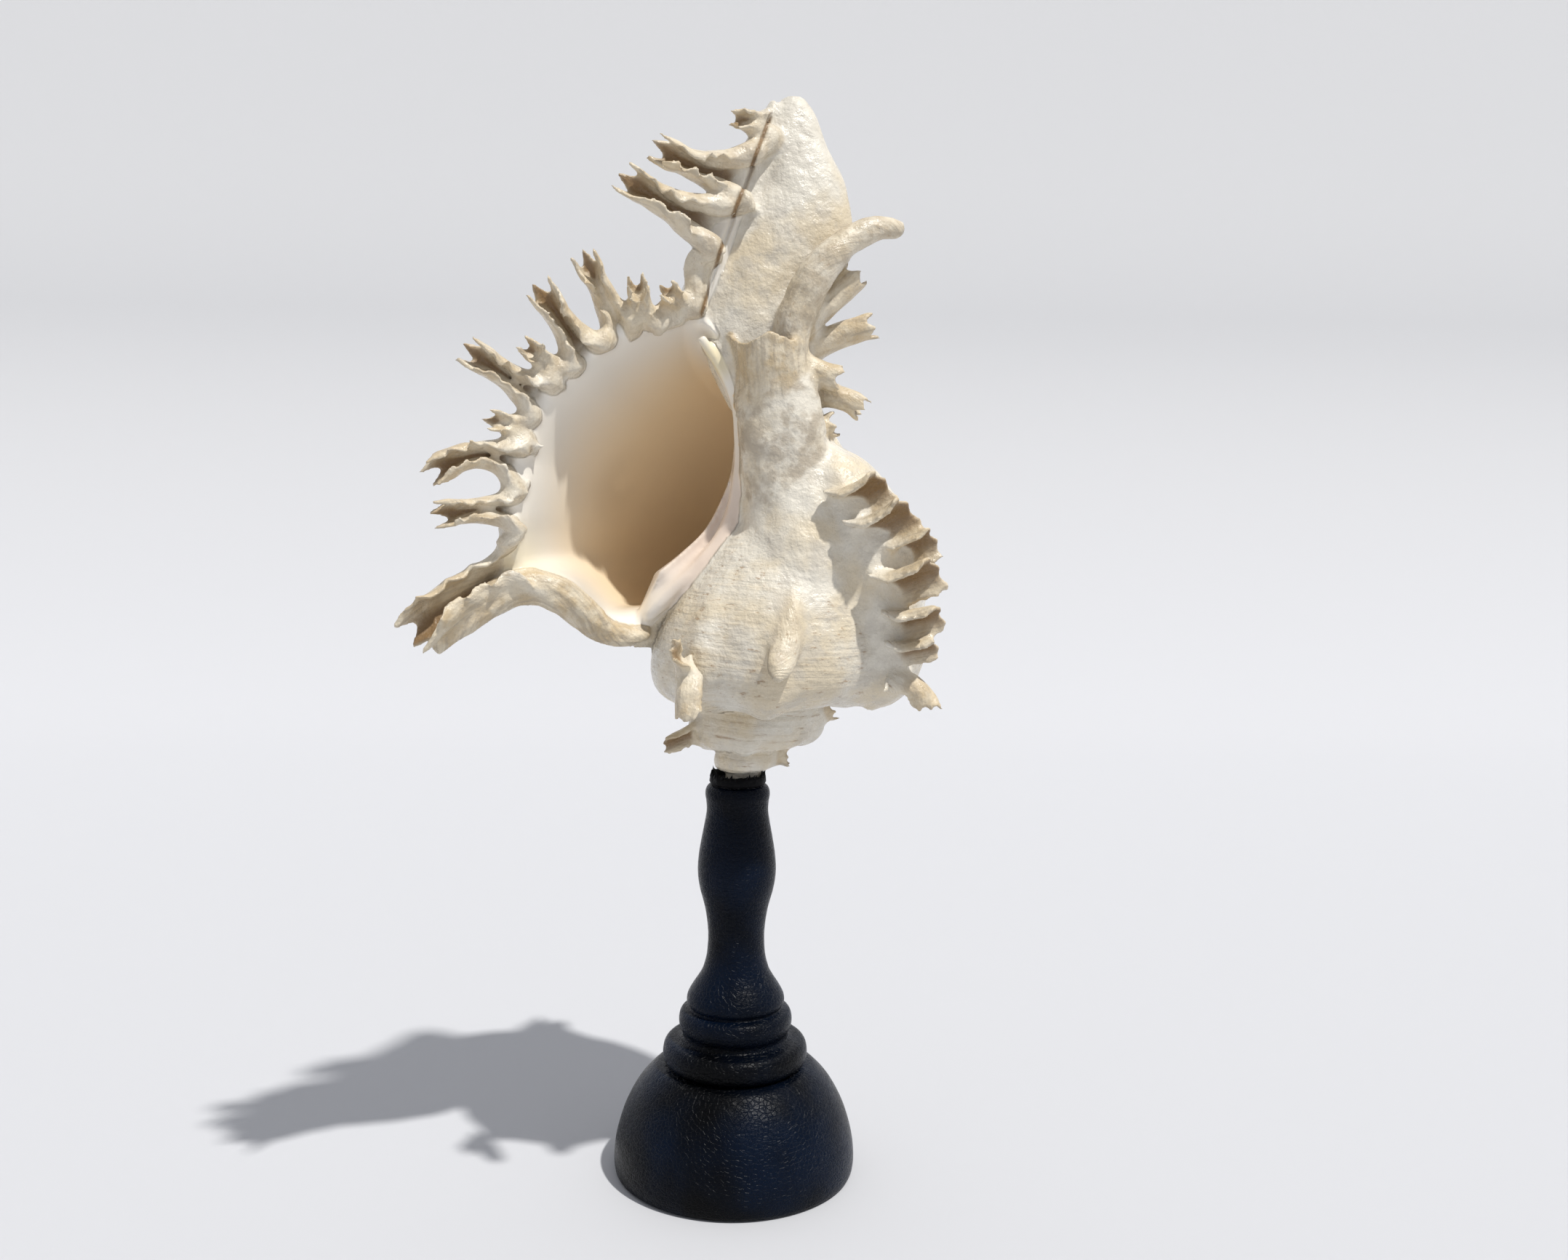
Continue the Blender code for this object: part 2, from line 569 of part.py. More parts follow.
def cut(obj, cutter):
    boolean = obj.modifiers.new("Cut " + cutter.name, "BOOLEAN")
    boolean.operation = "DIFFERENCE"
    boolean.solver = "EXACT"
    boolean.object = cutter


def turned(profile, sides):
    """A profile of radius and height turned round the Z axis; radius 0 gives a single point."""
    points, rows = [], []
    for radius, height in profile:
        if radius == 0.0:
            rows.append([len(points)])
            points.append((0.0, 0.0, height))
            continue
        rows.append(list(range(len(points), len(points) + sides)))
        for i in range(sides):
            turn = 2.0 * math.pi * i / sides
            points.append((radius * math.cos(turn), radius * math.sin(turn), height))
    faces = []
    for low, high in zip(rows, rows[1:] + rows[:1]):
        for i in range(sides):
            j = (i + 1) % sides
            if len(low) == 1 and len(high) > 1:
                faces.append((low[0], high[i], high[j]))
            elif len(high) == 1 and len(low) > 1:
                faces.append((low[i], low[j], high[0]))
            elif len(low) > 1:
                faces.append((low[i], low[j], high[j], high[i]))
    return np.array(points), faces


def base_profile():
    """A dome, from the middle of its flat underside round to the middle of its top."""
    edge = [(BASE_RADIUS - 1.0, 0.0), (BASE_RADIUS - 0.3, 0.7)]
    dome = smooth_curve(
        ((BASE_RADIUS, 4.0), (29.3, 9.0), (27.3, 15.7), (24.1, 21.8), (20.1, 26.2)), 9
    )
    return [(0.0, 0.0)] + edge + [tuple(p) for p in dome] + [(16.0, BASE_TOP), (0.0, BASE_TOP)]


def column_profile():
    """A flange, a bead, a bell foot and a vase-shaped shaft with a rounded head."""
    flange = [(16.4, COLUMN_BOTTOM), (17.6, 28.8), (17.85, 30.6), (17.4, 32.6), (16.4, 33.5)]
    bead = [(13.4, 34.2), (13.0, 35.6), (13.8, 37.2), (13.8, 40.0), (12.4, 41.6)]
    bell = [(11.4, 42.0), (12.0, 43.6), (11.6, 45.4), (9.6, 48.8), (7.8, 51.8)]
    shaft = smooth_curve(
        ((7.8, 51.8), (6.9, 59.6), (7.6, 66.5), (8.9, 71.6), (9.55, 77.4), (8.6, 84.9),
         (7.5, 91.4), (7.9, 95.2)), 12
    )[1:]
    return (
        [(0.0, COLUMN_BOTTOM)] + flange + bead + bell + [tuple(p) for p in shaft]
        + [(7.0, COLUMN_TOP - 0.6), (6.2, COLUMN_TOP), (0.0, COLUMN_TOP)]
    )


def cup_mesh(sides=24):
    """Black putty: a floor under the shell's tip and a low wall with a torn edge."""
    bottom = COLUMN_TOP + JOINT_GAP
    inner = TIP_RADIUS + JOINT_GAP
    points, faces = turned(
        [(0.0, bottom), (inner + CUP_WALL - 0.2, bottom), (inner + CUP_WALL, bottom + 0.8),
         (inner + 0.55, bottom + 2.4), (inner, bottom + 2.2), (inner, bottom + CUP_FLOOR),
         (0.0, bottom + CUP_FLOOR)],
        sides,
    )
    rim = (points[:, 2] > bottom + 2.0)
    turns = np.arctan2(points[:, 1], points[:, 0])
    torn = 0.5 * np.cos(7.0 * turns + 1.0) + 0.5 * np.cos(11.0 * turns)
    points[rim, 2] += 0.35 * torn[rim] - 0.25
    return points, faces


def finish(name, colour, roughness, coat=0.0):
    """A Principled material."""
    material = bpy.data.materials.new(name)
    material.use_nodes = True
    shader = material.node_tree.nodes["Principled BSDF"]
    shader.inputs["Base Color"].default_value = (*colour, 1.0)
    shader.inputs["Roughness"].default_value = roughness
    shader.inputs["Metallic"].default_value = 0.0
    shader.inputs["Coat Weight"].default_value = coat
    return material


def build_shell():
    """Everything that the animal grew, fused into one solid and cut to fit its cup."""
    shapes = [whorls()] + [tube_mesh(tube) for tube in STEMS]
    fronds = LIP_FRONDS + OLD_CANAL_FRONDS + RIGHT_RIB_FRONDS + FRONT_RIB_FRONDS + SPIRE_FRONDS
    fronds += tuple(rib_row(RIB_ANGLES[0]))
    shapes += [frond_mesh(frond) for frond in fronds]
    shell = new_object("shell", *join(shapes))
    fuse(shell)
    thin_out(shell, SHELL_TRIANGLES)
    shell.data.materials.clear()
    shell.data.materials.append(finish("shell_cream", (0.80, 0.72, 0.60), 0.45))
    cut(shell, helper("crown_bore", *tube_mesh(CROWN_BORE)))
    cut(shell, tip_cutter())
    shell.data.shade_smooth()
    return shell


def build_stand():
    """The dome, the column and the putty cup, each a solid of its own."""
    black_paint = finish("black_paint", (0.012, 0.014, 0.02), 0.32, coat=0.3)
    base = new_object("stand_base", *turned(base_profile(), 40), black_paint)
    column = new_object("stand_column", *turned(column_profile(), 32), black_paint)
    putty = finish("black_putty", (0.01, 0.01, 0.012), 0.5)
    cup = new_object("putty_cup", *cup_mesh(), putty)
    for obj in (base, column, cup):
        obj.data.shade_smooth()
        obj.data.set_sharp_from_angle(angle=math.radians(40.0))


def main():
    for obj in list(bpy.data.objects):
        bpy.data.objects.remove(obj)
    build_stand()
    build_shell()


main()
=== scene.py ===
"""Looks of a large branched murex shell, mounted spire down on a black turned wooden stand.

The shell grew as one piece, so it is one fused skin here: whorls that follow a growth rule, a
flared lip with hollow leafy fronds, the canal with its older neighbours, and the spines left on
earlier ribs. Sizes are in millimetres in the object's own frame, with +Z up and the front at -Y.
"""

from __future__ import annotations

import logging
import math
from dataclasses import dataclass, field, fields
from enum import Enum
from typing import Any, Sequence

import bmesh
import bpy
import numpy as np
from mathutils import Matrix, Vector


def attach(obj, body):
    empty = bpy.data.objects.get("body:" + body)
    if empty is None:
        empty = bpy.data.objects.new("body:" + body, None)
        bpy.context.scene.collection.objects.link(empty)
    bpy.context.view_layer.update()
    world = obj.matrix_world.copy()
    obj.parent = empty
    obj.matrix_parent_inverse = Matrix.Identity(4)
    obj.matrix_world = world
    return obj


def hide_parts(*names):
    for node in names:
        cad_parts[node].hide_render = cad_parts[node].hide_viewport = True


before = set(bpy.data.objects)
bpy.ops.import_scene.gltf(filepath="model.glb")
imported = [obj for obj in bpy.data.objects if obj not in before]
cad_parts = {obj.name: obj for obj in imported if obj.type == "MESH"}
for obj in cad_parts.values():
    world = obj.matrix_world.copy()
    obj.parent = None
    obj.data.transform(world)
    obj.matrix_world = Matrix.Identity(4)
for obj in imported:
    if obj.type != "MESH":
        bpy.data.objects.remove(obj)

MM = 0.001
MERGE_DISTANCE = 0.000005
CURVE_STEPS = 24
HASH = (73856093, 19349663, 83492791)
SCRAMBLE = 2654435761
WORD = 2**32
SEED_SHIFT = 17.31
LOG = logging.getLogger("murex")
Point = tuple[float, float, float]

# Edge of the flared lip, from the seam round to the canal.
LIP_EDGE: tuple[Point, ...] = (
    (-23.7, -10.0, 137.4), (-30.4, -13.0, 139.4), (-34.6, -15.5, 144.2), (-39.0, -18.0, 148.8),
    (-45.0, -20.5, 150.8), (-50.5, -23.0, 152.6), (-51.5, -25.0, 158.0), (-50.5, -26.0, 164.5),
    (-49.8, -26.0, 171.5), (-49.4, -25.5, 178.5), (-46.6, -24.5, 186.5), (-42.5, -23.0, 192.5),
    (-36.5, -21.0, 197.8), (-31.2, -19.0, 203.0), (-25.5, -17.0, 206.6), (-19.2, -14.0, 209.4),
    (-12.7, -11.0, 211.6),
)


class Detail(Enum):
    """How fine the fused shell is: the width of a voxel in millimetres."""

    DRAFT = 0.9
    FULL = 0.5


# Shared mathematics.


def smooth_curve(points: Sequence[Sequence[float]], count: int) -> np.ndarray:
    """Evenly spaced points on a Catmull-Rom curve.

    Args:
        points: The points that the curve goes through, with any number of values each.
        count: How many points to return.

    Returns:
        An array of count rows.
    """
    given = np.asarray(points, float)
    padded = np.vstack([2 * given[0] - given[1], given, 2 * given[-1] - given[-2]])
    t = np.linspace(0.0, 1.0, CURVE_STEPS, endpoint=False)[:, None]
    pieces = []
    for start in range(len(given) - 1):
        before, left, right, after = padded[start : start + 4]
        pieces.append(
            0.5 * (2 * left + (right - before) * t
                   + (2 * before - 5 * left + 4 * right - after) * t**2
                   + (3 * left - before - 3 * right + after) * t**3)
        )
    fine = np.vstack(pieces + [given[-1:]])
    steps = np.linalg.norm(np.diff(fine[:, :3], axis=0), axis=1)
    travel = np.concatenate([[0.0], np.cumsum(steps)])
    wanted = np.linspace(0.0, travel[-1], count)
    return np.stack([np.interp(wanted, travel, fine[:, i]) for i in range(fine.shape[1])], 1)


def ease(value: np.ndarray) -> np.ndarray:
    """A smooth step from 0 to 1."""
    value = np.clip(value, 0.0, 1.0)
    return value * value * (3.0 - 2.0 * value)


def units(vectors: np.ndarray) -> np.ndarray:
    """The vectors in the last axis, each scaled to length 1."""
    return vectors / np.linalg.norm(vectors, axis=-1, keepdims=True)


def waver(points: np.ndarray, size: float, seed: int) -> np.ndarray:
    """Smooth noise with a fixed seed.

    Args:
        points: Places in millimetres, three values each.
        size: Width of one bump in millimetres.
        seed: Which noise it is.

    Returns:
        One value from -1 to 1 for each place.
    """
    cell = points / size + seed * SEED_SHIFT
    base = np.floor(cell).astype(np.int64)
    part = ease(cell - base)
    total = np.zeros(len(points))
    for corner in range(8):
        offset = np.array([corner & 1, corner >> 1 & 1, corner >> 2 & 1])
        key = base + offset
        mixed = (key[:, 0] * HASH[0]) ^ (key[:, 1] * HASH[1]) ^ (key[:, 2] * HASH[2])
        value = (mixed * SCRAMBLE % WORD) / (WORD / 2) - 1.0
        total += value * np.prod(np.where(offset, part, 1.0 - part), axis=1)
    return total


@dataclass
class Skin:
    """A closed surface in millimetres, with what its finish reads at each point.

    paint holds how much of a point is porcelain, how far out on a frond it is, and whether it
    lies in a frond's hollow or the canal's slit, which the finish darkens with painted shade over
    their own brown. grain holds millimetres across and along the growth, and depth.
    part numbers the shape that a point belongs to, so that their joints can be smoothed.
    """

    points: np.ndarray
    faces: list[tuple[int, ...]]
    paint: np.ndarray
    grain: np.ndarray
    part: np.ndarray | None = None

    @staticmethod
    def joined(skins: Sequence[Skin]) -> Skin:
        """Several skins as one.

        Args:
            skins: The skins, which may overlap.

        Returns:
            One skin that holds them all.
        """
        faces: list[tuple[int, ...]] = []
        start = 0
        for skin in skins:
            faces += [tuple(start + i for i in face) for face in skin.faces]
            start += len(skin.points)
        return Skin(
            np.vstack([skin.points for skin in skins]),
            faces,
            np.vstack([skin.paint for skin in skins]),
            np.vstack([skin.grain for skin in skins]),
            np.concatenate([np.full(len(skin.points), 1.0 + i) for i, skin in enumerate(skins)]),
        )

    def to_object(self, name: str) -> bpy.types.Object:
        """A mesh object in metres that carries paint and grain as attributes.

        Args:
            name: The new object's name.

        Returns:
            The object, linked to the scene, with its faces turned outwards.
        """
        mesh = new_mesh(name, self.points * MM, self.faces)
        store(mesh, "paint", self.paint)
        store(mesh, "grain", self.grain)
        store(mesh, "part", self.part)
        return linked(name, outwards(mesh))


def new_mesh(name: str, points: Sequence[Any], faces: list[tuple[int, ...]]) -> bpy.types.Mesh:
    """Makes a mesh.

    Args:
        name: The mesh's name.
        points: Three values for each point.
        faces: The faces, as point numbers.

    Returns:
        The mesh, which no object holds yet.
    """
    mesh = bpy.data.meshes.new(name)
    mesh.from_pydata([tuple(point) for point in points], [], faces)
    return mesh


def read(data: Any, key: str, width: int = 3, kind: Any = np.float32) -> np.ndarray:
    """Reads a property of every item in a mesh's data.

    Args:
        data: Points, edges or an attribute's values.
        key: The property's name.
        width: How many numbers each item has.
        kind: The type of the numbers.

    Returns:
        One row for each item.
    """
    values = np.empty(len(data) * width, kind)
    data.foreach_get(key, values)
    return values.reshape(-1, width)


def store(mesh: bpy.types.Mesh, name: str, values: np.ndarray) -> None:
    """Writes one value or vector for each point of a mesh.

    Args:
        mesh: The mesh that gets the attribute.
        name: The attribute's name.
        values: One number or three for each point.
    """
    kind, key = ("FLOAT", "value") if values.ndim == 1 else ("FLOAT_VECTOR", "vector")
    attribute = mesh.attributes.new(name, kind, "POINT")
    attribute.data.foreach_set(key, values.astype(np.float32).ravel())


def outwards(mesh: bpy.types.Mesh) -> bpy.types.Mesh:
    """Turns the faces of a closed mesh outwards, and returns the mesh."""
    work = bmesh.new()
    work.from_mesh(mesh)
    bmesh.ops.recalc_face_normals(work, faces=work.faces)
    work.to_mesh(mesh)
    work.free()
    return mesh


def linked(name: str, mesh: bpy.types.Mesh) -> bpy.types.Object:
    """An object that holds the mesh, in the scene."""
    obj = bpy.data.objects.new(name, mesh)
    bpy.context.scene.collection.objects.link(obj)
    return obj


def baked(obj: bpy.types.Object) -> bpy.types.Object:
    """Turns the object's modifiers into plain mesh, removes them, and returns the object."""
    graph = bpy.context.evaluated_depsgraph_get()
    mesh = bpy.data.meshes.new_from_object(obj.evaluated_get(graph))
    obj.modifiers.clear()
    old = obj.data
    obj.data = mesh
    bpy.data.meshes.remove(old)
    return obj


def ring_faces(rings: int, count: int) -> list[tuple[int, ...]]:
    """Four-sided faces between rings of equal length.

    Args:
        rings: How many rings there are.
        count: Points in each ring.

    Returns:
        The faces, as point numbers that start at 0.
    """
    return [
        (row * count + i, row * count + (i + 1) % count,
         (row + 1) * count + (i + 1) % count, (row + 1) * count + i)
        for row in range(rings - 1) for i in range(count)
    ]


# Nodes.


class Nodes:
    """A tree that is built one node at a time."""

    START = "ShaderNode"
    STARTS: dict[str, str] = {}
    group: bpy.types.NodeTree

    def add(self, kind: str, inputs: dict[Any, Any] | None = None, **settings: Any) -> Any:
        """Adds a node.

        Args:
            kind: The node's type without its start, such as "GeometryNode".
            inputs: Socket name or number, and the socket or value that goes in.
            settings: Properties of the node.

        Returns:
            The node.
        """
        node = self.group.nodes.new(self.STARTS.get(kind, self.START) + kind)
        for key, value in settings.items():
            setattr(node, key, value)
        for key, value in (inputs or {}).items():
            self.feed(node.inputs[key], value)
        return node

    def feed(self, socket: bpy.types.NodeSocket, value: Any) -> None:
        """Links a socket to another, or sets its value."""
        if isinstance(value, bpy.types.NodeSocket):
            self.group.links.new(value, socket)
        elif isinstance(value, tuple) and len(value) == 3 and socket.type == "RGBA":
            socket.default_value = (*value, 1.0)
        else:
            socket.default_value = value

    def maths(self, operation: str, left: Any, right: Any = 0.0) -> bpy.types.NodeSocket:
        """The result socket of a Math node on one or two sockets or numbers."""
        return self.add("Math", {0: left, 1: right}, operation=operation).outputs[0]

    def times(self, left: Any, right: Any) -> bpy.types.NodeSocket:
        """The product of two sockets or numbers."""
        return self.maths("MULTIPLY", left, right)

    def vector(self, x: Any, y: Any, z: Any) -> bpy.types.NodeSocket:
        """A vector from three numbers or sockets."""
        return self.add("CombineXYZ", {0: x, 1: y, 2: z}).outputs[0]


class NodeTree(Nodes):
    """A Geometry Nodes tree with named inputs."""

    START = "GeometryNode"
    STARTS = {"RandomValue": "FunctionNode", "Math": "ShaderNode", "VectorMath": "ShaderNode",
              "SeparateXYZ": "ShaderNode", "CombineXYZ": "ShaderNode", "Mix": "ShaderNode",
              "TexNoise": "ShaderNode"}
    KINDS = {float: "NodeSocketFloat", int: "NodeSocketInt", bpy.types.Object: "NodeSocketObject",
             bpy.types.Material: "NodeSocketMaterial"}

    def __init__(self, name: str, inputs: dict[str, Any]) -> None:
        """Starts the tree.

        Args:
            name: The tree's name.
            inputs: Name and value of each size, seed, object or material that it takes.
        """
        self.group = bpy.data.node_groups.new(name, "GeometryNodeTree")
        self.values = inputs
        sockets = self.group.interface
        sockets.new_socket("Geometry", in_out="OUTPUT", socket_type="NodeSocketGeometry")
        sockets.new_socket("Geometry", in_out="INPUT", socket_type="NodeSocketGeometry")
        for label, value in inputs.items():
            sockets.new_socket(label, in_out="INPUT", socket_type=self.KINDS[type(value)])
        self.source = self.group.nodes.new("NodeGroupInput")
        self.result = self.group.nodes.new("NodeGroupOutput")

    def given(self, label: str) -> bpy.types.NodeSocket:
        """The socket of a named input."""
        return self.source.outputs[label]

    def parts(self, vector: Any) -> list[bpy.types.NodeSocket]:
        """The three numbers of a vector."""
        return list(self.add("SeparateXYZ", {0: vector}).outputs)

    def moved(self, geometry: Any, place: Any) -> bpy.types.NodeSocket:
        """The geometry with its points put at places in metres."""
        return self.add("SetPosition", {"Geometry": geometry, "Position": place}).outputs[0]

    def metres(self, place: Any) -> bpy.types.NodeSocket:
        """Places in millimetres turned into metres, by the input Unit."""
        return self.add("VectorMath", {0: place, 3: self.given("Unit")},
                        operation="SCALE").outputs[0]

    def attribute(self, name: str, kind: str = "FLOAT") -> bpy.types.NodeSocket:
        """The socket of a named attribute."""
        node = self.add("InputNamedAttribute", {"Name": name}, data_type=kind)
        return node.outputs["Attribute"]

    def stored(self, geometry: Any, name: str, value: Any, kind: str) -> bpy.types.NodeSocket:
        """The geometry with a value stored on its points under a name."""
        node = self.add("StoreNamedAttribute", {"Geometry": geometry, "Name": name,
                                                "Value": value}, data_type=kind, domain="POINT")
        return node.outputs["Geometry"]

    def blurred(self, value: Any, rounds: Any, kind: str) -> bpy.types.NodeSocket:
        """A value averaged with its neighbours on the surface, some rounds over."""
        return self.add("BlurAttribute", {"Value": value, "Iterations": rounds},
                        data_type=kind).outputs[0]

    def end(self, geometry: bpy.types.NodeSocket, material: bpy.types.NodeSocket) -> None:
        """Ends the tree in Realize Instances and Set Material.

        Args:
            geometry: What the tree has made.
            material: The socket of its material.
        """
        real = self.add("RealizeInstances", {"Geometry": geometry})
        dressed = self.add("SetMaterial", {"Geometry": real.outputs[0], "Material": material})
        self.group.links.new(dressed.outputs[0], self.result.inputs[0])

    def run(self, obj: bpy.types.Object) -> bpy.types.Object:
        """Runs the tree on an object and leaves it a plain mesh.

        Args:
            obj: The object that the tree starts from.

        Returns:
            The same object.
        """
        modifier = obj.modifiers.new(self.group.name, "NODES")
        modifier.node_group = self.group
        for item in self.group.interface.items_tree:
            if item.in_out == "INPUT" and item.name in self.values:
                modifier[item.identifier] = self.values[item.name]
        return baked(obj)


# Finishes.


class ShaderGraph(Nodes):
    """A material's nodes round one Principled shader."""

    def __init__(self, name: str) -> None:
        """Makes an empty material of that name."""
        self.material = bpy.data.materials.new(name)
        self.material.use_nodes = True
        self.group = self.material.node_tree
        self.shader = self.group.nodes["Principled BSDF"]
        self.place = self.add("TexCoord").outputs["Object"]

    def noise(self, scale: float, place: Any = None, detail: float = 4.0,
              rough: float = 0.5) -> bpy.types.NodeSocket:
        """Noise from 0 to 1.

        Args:
            scale: How fine it is, per metre on object coordinates.
            place: The coordinates, object ones if left out.
            detail: How many finer layers it has.
            rough: How strong the finer layers are.

        Returns:
            The noise's socket.
        """
        node = self.add("TexNoise", {"Vector": place or self.place, "Scale": scale,
                                     "Detail": detail, "Roughness": rough})
        return node.outputs["Fac"]

    def between(self, value: Any, low: float, high: float) -> bpy.types.NodeSocket:
        """0 below low, 1 above high and smooth between; low may be the larger."""
        flip = low > high
        node = self.add("MapRange", {"Value": value, "From Min": min(low, high),
                                     "From Max": max(low, high)},
                        interpolation_type="SMOOTHSTEP")
        result = node.outputs["Result"]
        return self.maths("SUBTRACT", 1.0, result) if flip else result

    def mix(self, share: Any, first: Any, second: Any) -> bpy.types.NodeSocket:
        """A colour between two colours, by a share from 0 to 1."""
        return self.add("Mix", {0: share, 6: first, 7: second}, data_type="RGBA").outputs[2]

    def layer(self, under: Any, colour: Any, share: Any, strength: float) -> bpy.types.NodeSocket:
        """A colour laid over what is under it, by a share from 0 to 1 and a strength."""
        return self.mix(self.times(share, strength), under, colour)

    def near(self, spot: Point, far: float, close: float) -> bpy.types.NodeSocket:
        """0 further from a spot than far, 1 nearer than close, in metres."""
        gap = self.add("VectorMath", {0: self.place, 1: spot}, operation="DISTANCE")
        return self.between(gap.outputs["Value"], far, close)

    def attribute(self, name: str) -> list[bpy.types.NodeSocket]:
        """The three parts of a vector attribute."""
        vector = self.add("Attribute", attribute_name=name).outputs["Vector"]
        return list(self.add("SeparateXYZ", {0: vector}).outputs)

    def relief(self, height: Any, depth: float) -> None:
        """Sends a height to the shader as bump.

        Args:
            height: Socket from 0 to 1.
            depth: How deep the relief is, in metres.
        """
        bump = self.add("Bump", {"Height": height, "Distance": depth, "Strength": 1.0})
        self.feed(self.shader.inputs["Normal"], bump.outputs[0])

    def set(self, **values: Any) -> None:
        """Sets or links sockets of the Principled shader, with _ for a space in their names."""
        for key, value in values.items():
            self.feed(self.shader.inputs[key.replace("_", " ")], value)


@dataclass(frozen=True)
class ShellFinish:
    """Chalky cream outside with brown specks, horny fronds, and a porcelain inside; painted shade
    darkens the slit and the frond hollows, and a painted warm glow tints the deep inside.
    """

    chalk: Point = (0.75, 0.71, 0.62)
    cream: Point = (0.70, 0.61, 0.455)
    grey: Point = (0.56, 0.52, 0.45)
    worn: Point = (0.40, 0.34, 0.26)
    brown: Point = (0.30, 0.17, 0.075)
    horn: Point = (0.58, 0.455, 0.28)
    # the hollows' own brown, deepened as painted shade in the canal's slit and along the frond
    # gutters
    groove_brown_and_shade: Point = (0.21, 0.12, 0.045)
    porcelain: Point = (0.87, 0.83, 0.75)
    butter: Point = (0.84, 0.74, 0.49)
    # deep inside: partly the shell's own tan stain, partly a painted warm glow of light shining
    # through the shell
    depths_tan_and_glow: Point = (0.93, 0.73, 0.47)
    pink: Point = (0.74, 0.55, 0.43)
    relief: float = 0.0008

    def make(self) -> bpy.types.Material:
        """The material, which reads the skin's paint and grain.

        Returns:
            The new material.
        """
        graph = ShaderGraph("shell_growth")
        glaze, leaf, hollow = graph.attribute("paint")
        across, along, depth = graph.attribute("grain")
        joint = graph.add("Attribute", attribute_name="joint").outputs["Fac"]
        clear = graph.between(joint, 0.6, 0.05)
        wide = graph.times(across, 0.9)
        streaks = graph.noise(1.0, graph.vector(wide, graph.times(along, 0.10), 0.0), 5.0)
        specks = graph.noise(1.0, graph.vector(wide, graph.times(along, 0.40), 7.0), 6.0, 0.7)
        clouds = graph.noise(55.0, detail=5.0)
        patches = graph.noise(170.0, rough=0.6)
        leafy = graph.between(leaf, 0.0, 0.6)
        horny = graph.mix(graph.between(patches, 0.40, 0.62), self.cream, self.horn)
        outside = graph.mix(graph.between(clouds, 0.42, 0.62), self.chalk, self.cream)
        for colour, share, part, strength in (
            (self.grey, graph.between(patches, 0.48, 0.66), 1.0, 0.55),
            (self.worn, graph.between(patches, 0.40, 0.60), depth, 0.75),
            (self.horn, graph.between(streaks, 0.5, 0.8), clear, 0.32),
            (self.brown, graph.between(specks, 0.57, 0.67), clear, 0.65),
            (horny, leafy, 1.0, 0.85),
            (self.worn, graph.between(streaks, 0.46, 0.62), leafy, 0.5),
            # slit and gutter beds darken: partly their own brown, partly painted shade of the
            # recess
            (self.groove_brown_and_shade, graph.between(hollow, 0.15, 0.85), 1.0, 0.9),
        ):
            outside = graph.layer(outside, colour, graph.times(share, part), strength)
        # porcelain turns tan deeper inside: partly its own stain, partly a painted glow of light
        # through the shell
        tones = graph.mix(graph.between(depth, 0.10, 0.44), self.porcelain, self.depths_tan_and_glow)
        stain = graph.times(graph.near((-0.022, 0.004, 0.166), 0.016, 0.004),
                            graph.between(clouds, 0.35, 0.6))
        for colour, share, strength in (
            (self.butter, graph.near((-0.053, -0.024, 0.150), 0.018, 0.004), 0.6),
            (self.pink, graph.near((-0.004, -0.010, 0.158), 0.030, 0.006), 0.6),
            (self.butter, graph.near((-0.0061, -0.008, 0.1995), 0.007, 0.002), 0.8),
            (self.brown, stain, 0.35),
        ):
            tones = graph.layer(tones, colour, share, strength)
        gloss = graph.between(graph.noise(300.0, detail=3.0), 0.42, 0.6)
        rough = graph.mix(gloss, (0.20, 0.20, 0.20), (0.50, 0.50, 0.50))
        graph.set(Base_Color=graph.mix(graph.between(glaze, 0.25, 0.75), outside, tones),
                  Roughness=graph.mix(graph.between(glaze, 0.2, 0.8), rough, (0.16, 0.16, 0.16)),
                  IOR=1.52)
        height = graph.maths("ADD", graph.times(graph.noise(330.0, detail=3.0), 0.8),
                             graph.times(graph.noise(800.0, detail=6.0, rough=0.6), 0.35))
        ridged = graph.times(graph.maths("SUBTRACT", streaks, 0.5), clear)
        height = graph.maths("ADD", height, graph.times(ridged, 0.45))
        bare = graph.maths("SUBTRACT", 1.0, graph.between(glaze, 0.2, 0.7))
        graph.relief(graph.times(height, bare), self.relief)
        return graph.material


@dataclass(frozen=True)
class BlackPaint:
    """Hand-brushed black paint over wood, semi-gloss and finely crazed, with patches of painted
    blue sky reflection.
    """

    colour: Point = (0.0006, 0.0008, 0.0012)
    # painted reflection: a blue that stands in for the pale sky mirrored in the gloss
    painted_sky_reflection_blue: Point = (0.0014, 0.0055, 0.0165)
    relief: float = 0.00022

    def make(self) -> bpy.types.Material:
        """The material.

        Returns:
            The new material.
        """
        graph = ShaderGraph("brushed_black_paint")
        brush = graph.add("Mapping", {"Vector": graph.place, "Scale": (1.0, 1.0, 3.5)})
        strokes = graph.noise(420.0, brush.outputs[0], 5.0, 0.6)
        cells = graph.add("TexVoronoi", {"Vector": graph.place, "Scale": 900.0},
                           feature="DISTANCE_TO_EDGE")
        crazing = graph.between(cells.outputs["Distance"], 0.0, 0.12)
        # in patches the black turns blue: painted reflection of the sky
        patches = graph.noise(45.0, detail=2.0)
        graph.set(Base_Color=graph.mix(graph.between(patches, 0.32, 0.70), self.colour, self.painted_sky_reflection_blue),
                  Roughness=graph.maths("ADD", graph.times(strokes, 0.24), 0.16),
                  IOR=1.42, Specular_IOR_Level=0.13)
        graph.relief(graph.maths("ADD", strokes, graph.times(crazing, 0.35)), self.relief)
        return graph.material


